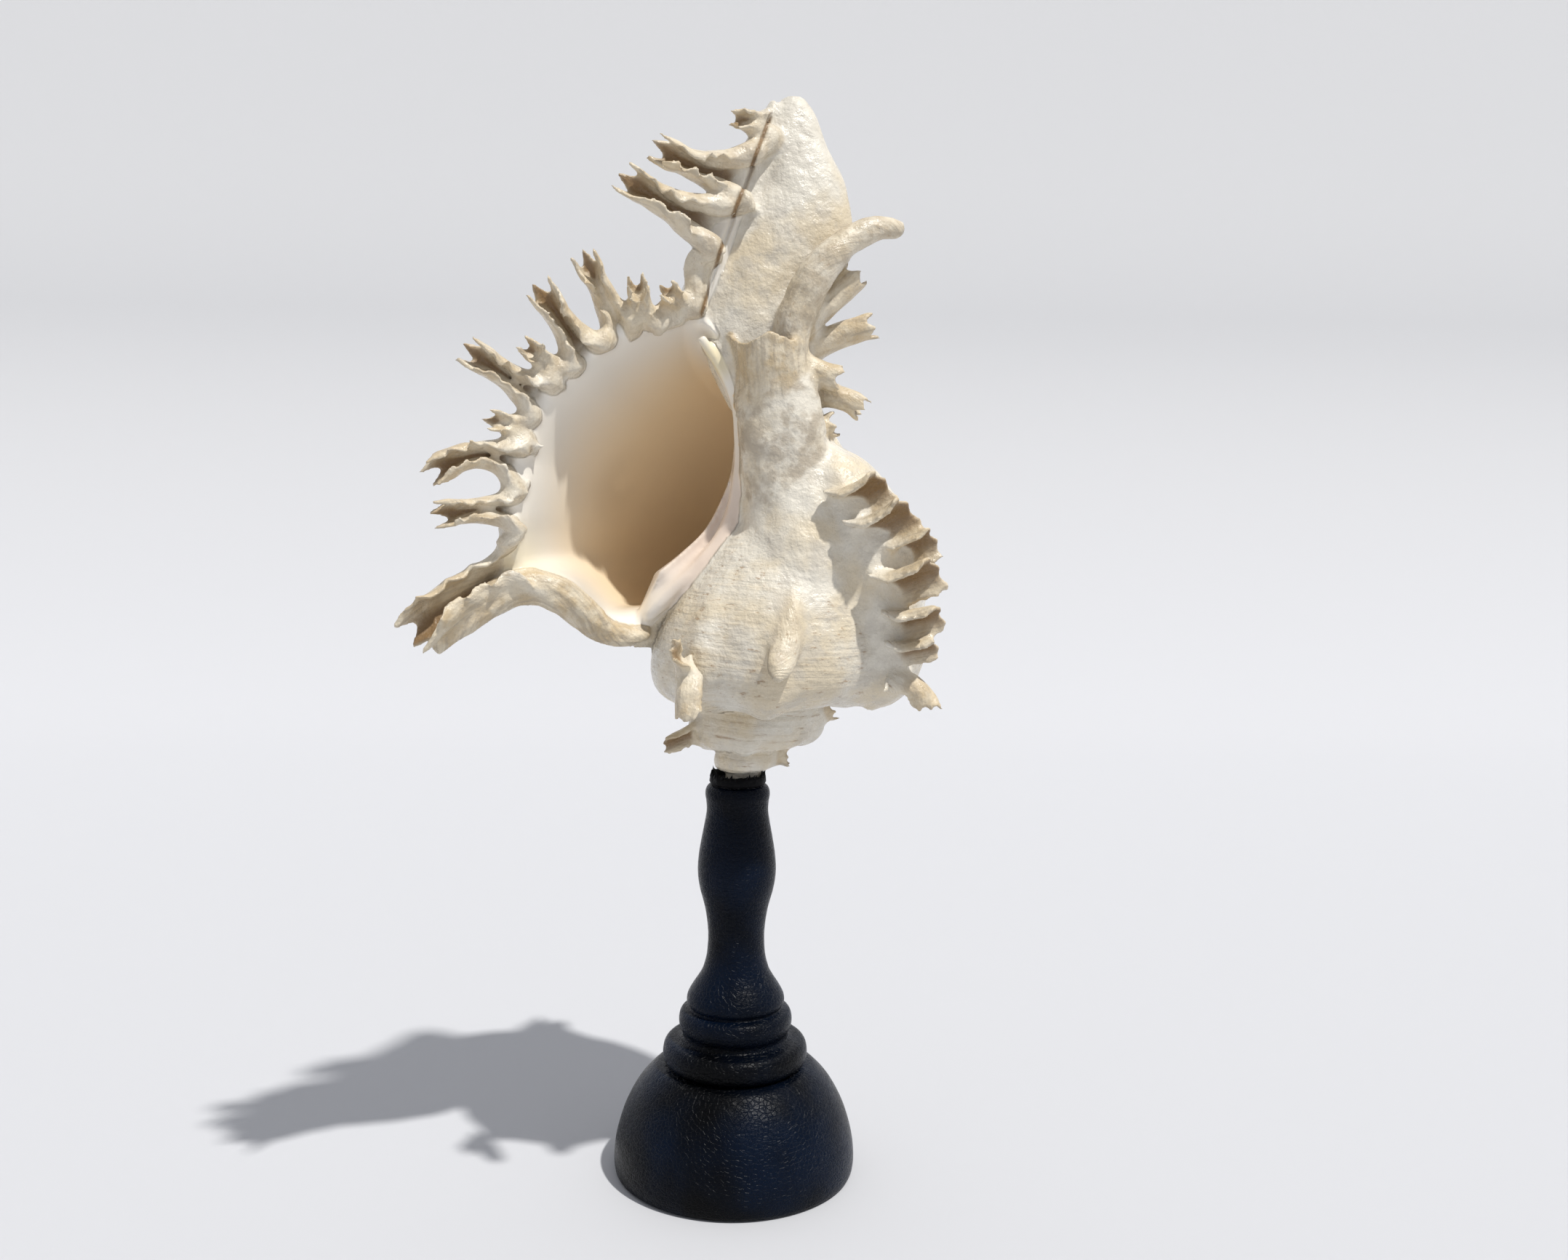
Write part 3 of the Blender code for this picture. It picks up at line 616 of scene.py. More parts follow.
@dataclass(frozen=True)
class BlackPutty:
    """Black filler that was pressed round the tip and torn off while soft."""

    colour: Point = (0.002, 0.002, 0.0023)
    pale: Point = (0.006, 0.006, 0.007)
    relief: float = 0.0006

    def make(self) -> bpy.types.Material:
        """The material.

        Returns:
            The new material.
        """
        graph = ShaderGraph("black_putty")
        lumps = graph.noise(700.0, detail=5.0)
        graph.set(Base_Color=graph.mix(lumps, self.colour, self.pale), Specular_IOR_Level=0.06,
                  Roughness=graph.maths("ADD", graph.times(lumps, 0.4), 0.25))
        graph.relief(lumps, self.relief)
        return graph.material


@dataclass(frozen=True)
class PaleGround:
    """Plain pale floor and backdrop."""

    floor: Point = (0.54, 0.55, 0.58)
    wall: Point = (0.80, 0.805, 0.815)

    def make(self) -> bpy.types.Material:
        """The material.

        Returns:
            The new material.
        """
        graph = ShaderGraph("pale_ground")
        height = graph.add("SeparateXYZ", {0: graph.place}).outputs["Z"]
        colour = graph.mix(graph.between(height, 0.0, 0.35), self.floor, self.wall)
        graph.set(Base_Color=colour, Roughness=0.85)
        return graph.material


# Shell.


@dataclass(frozen=True)
class Growth:
    """The rule that every whorl follows: one outline, scaled up as it turns round the axis."""

    turn_growth: float = 1.9
    full_size_angle: float = 200.0
    apex_height: float = 95.0
    lean: float = 6.5

    def size(self, angle: Any) -> Any:
        """Size of the cross-section at an angle in degrees, with 1 at full size."""
        return self.turn_growth ** ((angle - self.full_size_angle) / 360.0)

    def place(self, section: np.ndarray, angle: float) -> np.ndarray:
        """Puts section points into the object's frame.

        Args:
            section: Distance from the axis and height above the apex, in millimetres.
            angle: Growth angle in degrees.

        Returns:
            One place for each point.
        """
        turn, lean = math.radians(angle), math.radians(self.lean)
        across, height = section[:, 0] * math.cos(turn), section[:, 1]
        return np.stack(
            [across * math.cos(lean) + height * math.sin(lean), section[:, 0] * math.sin(turn),
             self.apex_height + height * math.cos(lean) - across * math.sin(lean)], axis=1)

    def tree(self, material: bpy.types.Material) -> NodeTree:
        """Geometry Nodes that turn a sheet of section points into whorls.

        Args:
            material: The material of the result.

        Returns:
            A tree that reads radius and height as x and y, and the attributes angle,
            lip_place and lip_share.
        """
        tree = NodeTree("Grow whorls", {
            "Turn growth": self.turn_growth, "Full size angle": self.full_size_angle,
            "Apex height": self.apex_height, "Lean": math.radians(self.lean), "Unit": MM,
            "Material": material,
        })
        section = tree.parts(tree.add("InputPosition").outputs[0])
        angle = tree.attribute("angle")
        past_full = tree.maths("SUBTRACT", angle, tree.given("Full size angle"))
        size = tree.maths("POWER", tree.given("Turn growth"),
                          tree.maths("DIVIDE", past_full, 360.0))
        turn = tree.maths("RADIANS", angle)
        radius, height = tree.times(section[0], size), tree.times(section[1], size)
        across = tree.times(radius, tree.maths("COSINE", turn))
        cosine, sine = (tree.maths(name, tree.given("Lean")) for name in ("COSINE", "SINE"))
        x = tree.maths("ADD", tree.times(across, cosine), tree.times(height, sine))
        y = tree.times(radius, tree.maths("SINE", turn))
        z = tree.maths("SUBTRACT", tree.times(height, cosine), tree.times(across, sine))
        grown = tree.vector(x, y, tree.maths("ADD", z, tree.given("Apex height")))
        mixed = tree.add("Mix", {0: tree.attribute("lip_share"), 4: grown,
                                 5: tree.attribute("lip_place", "FLOAT_VECTOR")},
                         data_type="VECTOR").outputs[1]
        tree.end(tree.moved(tree.given("Geometry"), tree.metres(mixed)), tree.given("Material"))
        return tree


@dataclass(frozen=True)
class Tube:
    """A round or oval stem: points of its centre line, with a half width and half depth at each.

    leaf, glaze (at both ends), worn and lined are what its finish reads. lumps, rings and flutes
    (how many, how high) are relief in millimetres.
    """

    RINGS_EACH = 7
    FEWEST_RINGS = 24
    RING_RATE = 1.9
    LUMP_SIZE = 3.5
    RING_WAVER = 2.5
    FLUTE_WAVER = 6.0

    stations: tuple[tuple[float, ...], ...]
    sides: int = 44
    leaf: float = 0.0
    lumps: float = 0.25
    seed: int = 1
    glaze: tuple[float, float] = (0.0, 0.0)
    rings: float = 0.0
    worn: float = 0.0
    lined: float = 1.0
    flutes: tuple[int, float] = (0, 0.0)

    def skin(self) -> Skin:
        """The closed stem.

        Returns:
            Its skin, with smooth lumps.
        """
        rings = max(self.FEWEST_RINGS, self.RINGS_EACH * len(self.stations))
        stations = smooth_curve(self.stations, rings)
        centres = stations[:, :3]
        tangents = units(np.gradient(centres, axis=0))
        depth = units(np.array([0.0, 1.0, 0.0]) - tangents * tangents[:, 1:2])
        side = np.cross(depth, tangents)
        turns = np.linspace(0.0, 2.0 * math.pi, self.sides, endpoint=False)
        cosines, sines = np.cos(turns)[None, :, None], np.sin(turns)[None, :, None]
        outward = (cosines * side[:, None] * stations[:, 3, None, None]
                   + sines * depth[:, None] * stations[:, 4, None, None])
        points = (centres[:, None] + outward).reshape(-1, 3)
        away = units(outward.reshape(-1, 3))
        points = points + away * (self.lumps * waver(points, self.LUMP_SIZE, self.seed))[:, None]
        steps = np.linalg.norm(np.diff(centres, axis=0), axis=1)
        travel = np.concatenate([[0.0], np.cumsum(steps)])
        along = np.repeat(travel, self.sides)
        ripple = np.abs(np.sin(along * self.RING_RATE
                               + waver(points, self.RING_WAVER, self.seed + 1)))
        around = np.tile(turns, rings)
        folds = np.abs(np.sin(self.flutes[0] * around / 2
                              + waver(points, self.FLUTE_WAVER, self.seed + 2)))
        points = points + away * (self.rings * ripple + self.flutes[1] * folds)[:, None]
        faces = ring_faces(rings, self.sides)
        first, last = len(points), len(points) + 1
        top = (rings - 1) * self.sides
        for i in range(self.sides):
            j = (i + 1) % self.sides
            faces += [(first, j, i), (last, top + i, top + j)]
        across = (turns * stations[:, 3:4]).reshape(-1)
        grain = np.stack([across * self.lined, along * self.lined,
                          np.full(len(across), self.worn)], axis=1)
        ends = np.array([[0.0, 0.0, self.worn], [0.0, travel[-1] * self.lined, self.worn]])
        paint = np.tile([0.0, self.leaf, 0.0], (len(points) + 2, 1))
        paint[:-2, 0] = self.glaze[0] + (self.glaze[1] - self.glaze[0]) * along / travel[-1]
        paint[-2:, 0] = self.glaze
        return Skin(np.vstack([points, centres[0], centres[-1]]), faces, paint,
                    np.vstack([grain, ends]))


@dataclass(frozen=True)
class Frond:
    """A hollow leafy spine: a gutter that narrows from a wide foot to a forked tip.

    Widths are half widths. curl is how far each side rolls round towards the slit, in degrees.
    neck is the share of its length in which the foot narrows.
    """

    TOOTH_SPOTS = (0.42, 0.62, 0.82)
    FULL_TOOTH_LENGTH = 14.0
    WIDEST = math.radians(80.0)
    WOBBLE = 0.22
    WOBBLE_SIZE = 2.6

    root: Point
    tip: Point
    foot: float
    width: float
    bow: Point = (0.0, 0.0, 0.0)
    opens: Point = (0.0, -1.0, 0.1)
    curl: float = 167.0
    wall: float = 1.5
    neck: float = 0.5
    teeth: float = 1.0
    seed: int = 0
    worn: float = 0.0

    @property
    def length(self) -> float:
        """Straight length from root to tip."""
        return math.dist(self.root, self.tip)

    def course(self, u: np.ndarray) -> dict[str, np.ndarray]:
        """The gutter's frame along its length.

        Args:
            u: Shares of the length, from 0 at the root to 1 at the tip.

        Returns:
            Centre, tangent, facing and side vectors, radius and half angle at each share.
        """
        root, tip = np.array(self.root), np.array(self.tip)
        control = (root + tip) / 2 + np.array(self.bow)
        t = u[:, None]
        centre = root * (1 - t) ** 2 + control * 2 * t * (1 - t) + tip * t**2
        tangent = units((control - root) * (1 - t) + (tip - control) * t)
        opening = np.array(self.opens)
        facing = units(opening - tangent * (tangent @ opening)[:, None])
        narrowing = np.clip(1.0 - u / self.neck, 0.0, 1.0) ** 2
        half = self.width * (1.0 + 0.35 * u**6) + (self.foot - self.width) * narrowing
        spread = math.radians(self.curl) * (0.35 + 0.65 * ease(u / (0.65 * self.neck)))
        spread = spread * (1.0 - 0.3 * ease((u - 0.8) / 0.2))
        radius = half / np.sin(np.minimum(spread, math.pi / 2))
        return {"centre": centre, "tangent": tangent, "facing": facing,
                "side": np.cross(tangent, facing), "radius": radius, "spread": spread}

    def margin(self, share: float, side: int) -> np.ndarray:
        """The place on one side of the gutter, no further round than its widest.

        Args:
            share: Share of the length.
            side: 1 or -1, which margin.

        Returns:
            The place, in millimetres.
        """
        at = {key: value[0] for key, value in self.course(np.array([share])).items()}
        turn = side * min(at["spread"], self.WIDEST)
        return (at["centre"] + at["side"] * math.sin(turn) * at["radius"]
                + at["facing"] * (1.0 - math.cos(turn)) * at["radius"])

    def tooth(self, u: np.ndarray, side: int) -> np.ndarray:
        """How far one margin sticks out in pointed teeth, in millimetres, at each share."""
        picks = np.random.default_rng(1000 * self.seed + side + 7)
        total = np.zeros(len(u))
        for spot in self.TOOTH_SPOTS:
            centre = spot + picks.uniform(-0.06, 0.06)
            rise = np.clip(1.0 - np.abs(u - centre) / picks.uniform(0.05, 0.08), 0.0, 1.0)
            total += picks.uniform(1.6, 3.6) * rise**1.3
        return self.teeth * total * min(1.0, self.length / self.FULL_TOOTH_LENGTH)

    def skin(self, rows: int = 40, columns: int = 27) -> Skin:
        """The gutter's hollow face and its back, joined round their border.

        Args:
            rows: Points along the length.
            columns: Points from margin to margin.

        Returns:
            The closed skin.
        """
        u = 1.0 - (1.0 - np.linspace(0.0, 1.0, rows)) ** 1.25
        v = np.linspace(-1.0, 1.0, columns)
        at = self.course(u)
        turn = at["spread"][:, None] * v[None]
        radius = at["radius"][:, None, None]
        sine, cosine = np.sin(turn)[..., None], np.cos(turn)[..., None]
        side, facing, tangent = at["side"][:, None], at["facing"][:, None], at["tangent"][:, None]
        edge = np.clip((np.abs(v) - 0.72) / 0.28, 0.0, 1.0)[None, :, None]
        teeth = np.where(v[None] > 0, self.tooth(u, 1)[:, None], self.tooth(u, -1)[:, None])
        fork = np.abs(((v * 1.5 + 0.31 * self.seed) % 1.0) - 0.5)[None, :, None]
        prong = self.teeth * min(5.0, 0.34 * self.length) * ((fork * 2.0) ** 1.4 - 0.4)
        reach = prong * ease((u - 0.72) / 0.28)[:, None, None] ** 1.5
        front = (at["centre"][:, None] + side * sine * radius + facing * (1.0 - cosine) * radius
                 + tangent * reach
                 + (side * np.sign(v)[None, :, None] * 0.8 + facing * 0.35 + tangent * 0.45)
                 * teeth[..., None] * edge)
        out = side * sine - facing * cosine
        wall = self.wall * (1.0 - 0.35 * u)[:, None, None] * (1.0 - 0.35 * edge)
        back = front + out * wall
        front, back = front.reshape(-1, 3), back.reshape(-1, 3)
        wobble = self.WOBBLE * waver(back, self.WOBBLE_SIZE, self.seed + 3)
        back = back + out.reshape(-1, 3) * wobble[:, None]
        return self.closed(front, back, rows, columns, u, turn, radius[..., 0])

    def closed(self, front: np.ndarray, back: np.ndarray, rows: int, columns: int,
               u: np.ndarray, turn: np.ndarray, radius: np.ndarray) -> Skin:
        """Joins the two grids round their border.

        Args:
            front: Points of the hollow face.
            back: Points of the back.
            rows: Points along the length.
            columns: Points from margin to margin.
            u: Share of the length of each row.
            turn: Angle round the gutter of each point.
            radius: Radius of each row.

        Returns:
            The closed skin.
        """
        shift = rows * columns
        faces: list[tuple[int, ...]] = []
        for r in range(rows - 1):
            for c in range(columns - 1):
                a = r * columns + c
                b, d, e = a + 1, a + columns, a + columns + 1
                faces += [(a, b, e, d), (a + shift, d + shift, e + shift, b + shift)]
        border = list(range(columns))
        border += [r * columns + columns - 1 for r in range(1, rows)]
        border += [(rows - 1) * columns + c for c in range(columns - 2, -1, -1)]
        border += [r * columns for r in range(rows - 2, 0, -1)]
        faces += [(a, a + shift, b + shift, b) for a, b in zip(border, border[1:] + border[:1])]
        across = (turn * radius).reshape(-1)
        along = np.repeat(u * self.length, columns)
        grain = np.stack([across, along, np.full(shift, self.worn)], axis=1)
        leaf = np.repeat(u, columns)
        # bed: the middle of the hollow face past its first part, which the finish darkens as the
        # frond's brown and as painted shade in the gutter
        bed = np.clip(1.0 - np.abs(turn) / 1.7, 0.0, 1.0) * ease(u / 0.4)[:, None]
        bed = bed.reshape(-1)
        inner = np.stack([np.zeros(shift), leaf, bed], axis=1)
        outer = np.stack([np.zeros(shift), leaf, np.zeros(shift)], axis=1)
        return Skin(np.vstack([front, back]), faces, np.vstack([inner, outer]),
                    np.vstack([grain, grain]))


def frond_row(seed: int, rows: Sequence[tuple[Any, ...]], **shared: Any) -> tuple[Frond, ...]:
    """Makes fronds that have much in common.

    Args:
        seed: Seed of the first, from which the others are counted up.
        rows: The fields of each frond, from the root on, as far as it has its own.
        shared: Fields that are the same for all whose rows end before them.

    Returns:
        The fronds.
    """
    names = [item.name for item in fields(Frond)]
    return tuple(Frond(**{**shared, **dict(zip(names, row)), "seed": seed + number})
                 for number, row in enumerate(rows))


@dataclass(frozen=True)
class Whorls:
    """The spiral body with its hollow, its ribs and knobs, and the flared lip."""

    RIB_SPREAD = 7.0
    KNOB_SPREAD = 9.0
    LIP_SET_BACK = 3.0
    GRAIN_RADIUS = 40.0
    DEEP_TURN = 150.0

    growth: Growth = Growth()
    start_angle: float = -1260.0
    hollow_end_angle: float = -50.0
    flare_start: float = 108.0
    flare_power: float = 1.7
    mouth_angle: float = 206.0
    step: float = 4.0
    flank_points: int = 84
    pillar_points: int = 32
    rib_angles: tuple[float, ...] = (88.0, -25.0, -119.0, -240.0, -368.0, -528.0, -650.0, -770.0)
    knob_angles: tuple[float, ...] = (150.0, 35.0, -82.0, -300.0, -450.0, -590.0, -710.0)
    rib_height: float = 4.6
    knob_height: float = 4.0
    cord_height: float = 0.3
    cord_count: int = 26
    lip_thickness: float = 3.2
    lip_foot_thickness: float = 7.5
    flank: tuple[tuple[float, float], ...] = (
        (23.0, 41.0), (31.0, 41.3), (38.5, 43.2), (44.5, 48.0), (47.5, 55.0), (48.2, 62.0),
        (47.2, 71.0), (44.6, 81.0), (40.8, 90.0), (36.0, 99.0), (31.0, 107.5), (24.5, 116.0),
    )
    neck: tuple[tuple[float, float], ...] = (
        (16.5, 124.0), (11.0, 132.0), (8.0, 140.0), (0.5, 144.0), (0.5, 39.0), (12.0, 40.0),
    )
    hollow_flank: tuple[tuple[float, float], ...] = (
        (31.0, 48.6), (36.7, 46.6), (41.8, 50.2), (44.3, 56.0), (45.0, 62.5), (44.0, 70.8),
        (41.2, 80.0), (37.6, 88.5), (32.8, 97.0), (27.5, 105.0),
    )
    hollow_pillar: tuple[tuple[float, float], ...] = (
        (21.0, 108.5), (15.5, 103.0), (12.6, 95.0), (11.6, 86.0), (12.0, 76.5), (16.0, 65.0),
        (21.5, 58.2), (27.0, 53.0),
    )

    def swollen(self, flank: np.ndarray, angle: float) -> np.ndarray:
        """The flank pushed out by ribs, knobs, spiral cords and growth lines.

        Args:
            flank: Points from the seam to the canal, at full size.
            angle: Growth angle in degrees.

        Returns:
            The flank's new points.
        """
        along = np.linspace(0.0, 1.0, len(flank))
        shoulder = np.exp(-(((along - 0.20) / 0.10) ** 2))
        side = np.exp(-(((along - 0.36) / 0.30) ** 2))
        push = np.zeros(len(flank))
        for rib in self.rib_angles:
            push += self.rib_height * math.exp(-(((angle - rib) / self.RIB_SPREAD) ** 2)) * side
        for knob in self.knob_angles:
            bump = math.exp(-(((angle - knob) / self.KNOB_SPREAD) ** 2))
            push += self.knob_height * bump * (shoulder + 0.2 * side)
        cords = np.abs(np.sin(math.pi * self.cord_count * along)) ** 0.7
        push += self.cord_height * cords * np.exp(-(((along - 0.30) / 0.28) ** 2))
        lines = np.stack([np.full(len(flank), angle * 0.9), along * 9.0, along * 0.0], axis=1)
        push += 0.22 * waver(lines, 6.0, 4) + 0.1 * waver(lines, 2.2, 5)
        direction = np.gradient(flank, axis=0)
        out = units(np.stack([direction[:, 1], -direction[:, 0]], axis=1))
        return flank + out * push[:, None]

    def lip_back(self) -> np.ndarray:
        """The lip's outer edge, thickest at its foot, a little behind its front edge."""
        edge = smooth_curve(LIP_EDGE, self.flank_points)
        away = edge - edge.mean(axis=0)
        away[:, 1] = 0.0
        away = units(away)
        down = np.clip(-away[:, 2], 0.0, 1.0) ** 2
        thickness = self.lip_thickness + (self.lip_foot_thickness - self.lip_thickness) * down
        return edge + away * thickness[:, None] + np.array([0.0, self.LIP_SET_BACK, 0.0])

    def sheet(self) -> tuple[Skin, np.ndarray, np.ndarray, np.ndarray]:
        """Section points before they grow, with the skin's faces.

        Returns:
            The skin with radius and height as x and y, and for each point its angle, its
            place on the lip and its share of the way there.
        """
        count = self.flank_points
        outer = np.append(np.arange(self.start_angle, self.mouth_angle, self.step),
                          self.mouth_angle)
        inner = np.arange(self.mouth_angle, self.hollow_end_angle, -self.step)
        base = smooth_curve(self.flank, count)
        rings = [np.vstack([self.swollen(base, a), self.neck]) for a in outer]
        hollow = np.vstack([smooth_curve(self.hollow_flank, count),
                            smooth_curve(self.hollow_pillar, self.pillar_points)])
        inside = [hollow.copy() for _ in inner]
        closing = [hollow.mean(axis=0) + (hollow - hollow.mean(axis=0)) * s for s in (0.7, 0.35)]
        inside += closing
        angles_in = np.append(inner, [inner[-1]] * 2)
        outer_count, inner_count = len(rings[0]), len(hollow)
        start = len(rings) * outer_count
        flat = np.vstack(rings + inside)
        angle = np.concatenate([np.repeat(outer, outer_count), np.repeat(angles_in, inner_count)])
        share = np.clip((angle - self.flare_start) / (self.mouth_angle - self.flare_start), 0, 1)
        share = share**self.flare_power
        lip = np.zeros((len(flat), 3))
        front, back = smooth_curve(LIP_EDGE, count), self.lip_back()
        for row in range(len(rings)):
            lip[row * outer_count : row * outer_count + count] = back
        for row in range(len(inside)):
            at = start + row * inner_count
            lip[at : at + count] = front
        share[~lip.any(axis=1)] = 0.0

        faces = ring_faces(len(rings), outer_count)
        faces += [tuple(start + i for i in face) for face in ring_faces(len(inside), inner_count)]
        rim = start - outer_count
        faces += [(rim + i, rim + i + 1, start + i + 1, start + i) for i in range(count - 1)]
        faces += self.ladder([rim + i for i in range(count - 1, outer_count)] + [rim],
                             [start + i for i in range(count - 1, inner_count)] + [start])
        faces.append(tuple(range(outer_count - 1, -1, -1)))
        bottom = len(flat) - inner_count
        faces.append(tuple(range(bottom, len(flat))))

        size = self.growth.size(angle)
        across = np.concatenate([np.tile(self.travel(np.vstack([base, self.neck])), len(rings)),
                                 np.tile(self.travel(hollow), len(inside))])
        along = np.radians(angle) * self.GRAIN_RADIUS
        depth = np.zeros(len(flat))
        depth[start:] = np.clip((self.mouth_angle - angle[start:]) / self.DEEP_TURN, 0.0, 1.0)
        glaze = (np.arange(len(flat)) >= start).astype(float)
        paint = np.stack([glaze, np.zeros(len(flat)), np.zeros(len(flat))], axis=1)
        grain = np.stack([across * size, along * size, depth], axis=1)
        points = np.column_stack([flat, np.zeros(len(flat))])
        return Skin(points, faces, paint, grain), angle, lip, share

    @staticmethod
    def travel(outline: np.ndarray) -> np.ndarray:
        """How far along an outline each of its points lies."""
        return np.cumsum(np.linalg.norm(np.diff(outline, axis=0, prepend=outline[:1]), axis=1))

    @staticmethod
    def ladder(left: list[int], right: list[int]) -> list[tuple[int, ...]]:
        """Triangles between two chains of points of different lengths.

        Args:
            left: Point numbers of one chain.
            right: Point numbers of the other chain.

        Returns:
            The triangles.
        """
        faces: list[tuple[int, ...]] = []
        i = j = 0
        while i < len(left) - 1 or j < len(right) - 1:
            left_next = (i + 1) / (len(left) - 1) if i < len(left) - 1 else 2.0
            right_next = (j + 1) / (len(right) - 1) if j < len(right) - 1 else 2.0
            if left_next <= right_next:
                faces.append((left[i], left[i + 1], right[j]))
                i += 1
            else:
                faces.append((left[i], right[j + 1], right[j]))
                j += 1
        return faces

    def grow(self, material: bpy.types.Material) -> bpy.types.Object:
        """Grows the whorls.

        Args:
            material: The shell's material.

        Returns:
            The whorls as one closed object, with paint and grain.
        """
        sheet, angle, lip, share = self.sheet()
        mesh = new_mesh("whorls", sheet.points, sheet.faces)
        for name, values in (("paint", sheet.paint), ("grain", sheet.grain), ("angle", angle),
                             ("lip_place", lip), ("lip_share", share),
                             ("part", np.zeros(len(angle)))):
            store(mesh, name, values)
        obj = self.growth.tree(material).run(linked("whorls", mesh))
        outwards(obj.data)
        return obj


@dataclass(frozen=True)
class Canal:
    """The long canal: its tongue, the flange across its slit, its floor and the inner lip."""

    tongue: Tube = Tube((
        (5.5, -1.0, 190.0, 8.0, 8.0), (2.6, -2.0, 200.0, 10.5, 8.5), (3.0, -1.5, 210.0, 12.0, 8.5),
        (7.5, -0.5, 220.0, 13.5, 8.0), (11.4, 0.5, 229.0, 14.2, 7.5),
        (12.3, 1.5, 237.5, 12.0, 6.5), (11.4, 2.5, 247.0, 8.3, 5.2),
        (11.3, 3.6, 255.5, 5.2, 3.8), (11.2, 4.6, 259.6, 2.6, 2.2),
    ), sides=80, lumps=0.3, seed=11, lined=0.0)
    flange: Tube = Tube((
        (-12.6, -6.5, 208.6, 1.6, 2.0), (-11.6, -7.6, 212.0, 3.0, 3.2),
        (-9.4, -7.4, 218.0, 3.5, 3.3), (-7.0, -6.6, 224.0, 3.6, 3.2),
        (-3.2, -4.4, 234.0, 3.4, 3.0), (0.6, -1.8, 243.0, 3.0, 2.8), (4.6, 1.4, 252.5, 2.4, 2.4),
        (7.4, 3.4, 258.4, 1.6, 1.8),
    ), lumps=0.1, seed=12, glaze=(1.0, 0.2), lined=0.0)
    floor: Tube = Tube((
        (-9.0, -4.6, 208.0, 4.2, 3.0), (-7.6, -4.2, 214.0, 5.2, 3.4), (-5.4, -3.6, 221.0, 5.2, 3.4),
        (-0.9, -2.0, 233.0, 4.8, 3.2), (3.6, 0.2, 244.0, 4.0, 2.8), (6.8, 2.2, 252.6, 2.8, 2.4),
        (8.4, 3.4, 257.0, 1.6, 1.6),
    ), lumps=0.15, seed=18, lined=0.0)
    slit_course: tuple[Point, ...] = (
        (-10.1, -9.0, 206.5), (-6.0, -9.0, 220.6), (-1.7, -6.0, 233.1), (2.8, -3.0, 245.6),
        (6.7, 1.0, 257.2),
    )
    slit_width: float = 0.5
    slit_depth: float = 1.4
    inner_lip: Tube = Tube((
        (-9.5, -8.6, 204.5, 1.0, 1.4), (-4.8, -7.5, 197.8, 1.5, 1.8), (-1.0, -6.8, 190.0, 1.7, 2.0),
        (0.0, -6.8, 182.0, 1.7, 2.0), (-0.2, -7.2, 174.0, 1.7, 2.0), (-1.6, -8.0, 165.0, 1.8, 2.1),
        (-4.6, -9.0, 158.0, 1.9, 2.3), (-9.2, -10.2, 152.0, 2.2, 2.6),
        (-14.8, -10.6, 147.0, 2.2, 2.6), (-19.8, -10.6, 142.0, 1.9, 2.2),
        (-22.0, -9.4, 139.0, 1.3, 1.5),
    ), lumps=0.12, seed=15, glaze=(1.0, 1.0))

    def skins(self) -> list[Skin]:
        """The tongue, the flange, the floor that joins them behind, and the inner lip."""
        return [self.tongue.skin(), self.flange.skin(), self.floor.skin(), self.inner_lip.skin()]


@dataclass(frozen=True)
class OldCanals:
    """What is left of two earlier canals: a long horn, and a short crown with a hollow top."""

    horn: Tube = Tube((
        (11.0, 0.0, 176.0, 3.0, 3.0), (10.8, -4.0, 186.0, 5.0, 4.6), (10.6, -8.2, 196.0, 4.4, 4.4),
        (11.2, -10.8, 205.6, 4.2, 4.2), (14.0, -12.0, 213.8, 4.2, 4.0),
        (18.0, -12.0, 220.6, 3.9, 3.7), (23.6, -10.4, 226.2, 3.2, 3.1),
        (30.0, -8.2, 229.4, 2.8, 2.7), (35.4, -6.0, 229.4, 2.0, 2.0), (36.6, -5.6, 229.0, 0.8, 0.8),
    ), leaf=0.3, lumps=0.35, seed=13, worn=0.55, rings=0.15)
    crown_plate: Tube = Tube((
        (12.0, -8.0, 158.0, 4.0, 4.0), (10.8, -10.5, 167.0, 8.4, 7.0),
        (10.0, -10.5, 175.0, 9.8, 7.0), (9.4, -10.5, 184.0, 9.8, 6.8),
        (8.4, -10.8, 192.0, 8.6, 5.6), (7.6, -11.2, 199.0, 5.6, 3.6),
    ), sides=80, leaf=0.1, lumps=0.5, seed=14, worn=0.9, lined=0.0)
    crown: Frond = Frond((8.6, -14.0, 186.0), (7.0, -17.2, 204.6), 9.4, 6.8, (0.0, -1.0, 0.0),
                         (-0.1, 1.0, 0.2), 158.0, 1.5, 0.6, 0.5, 3, 0.9)
    fronds: tuple[Frond, ...] = frond_row(31, (
        ((15.5, -9.0, 208.5), (27.0, -6.5, 218.4), 4.6, 2.0, (0.0, 0.0, -1.5), (-0.2, 0.8, 0.6)),
        ((14.0, -4.0, 201.0), (30.0, -6.0, 207.0), 4.5, 1.8, (0.0, 0.0, 1.0)),
        ((10.5, -9.0, 198.0), (21.8, -12.0, 194.4), 4.5, 2.0),
        ((13.5, -4.0, 188.5), (27.0, -8.0, 188.0), 4.0, 1.6, (0.0, 0.0, 5.0), (0.0, 0.8, 0.6)),
        ((11.0, -6.0, 181.0), (21.6, -8.0, 184.2), 4.5, 1.8),
    ), opens=(0.0, 0.9, 0.4), teeth=0.45)

    def skins(self) -> list[Skin]:
        """The horn, the crown and their fronds."""
        return ([self.horn.skin(), self.crown_plate.skin(), self.crown.skin(columns=45)]
                + [frond.skin() for frond in self.fronds])


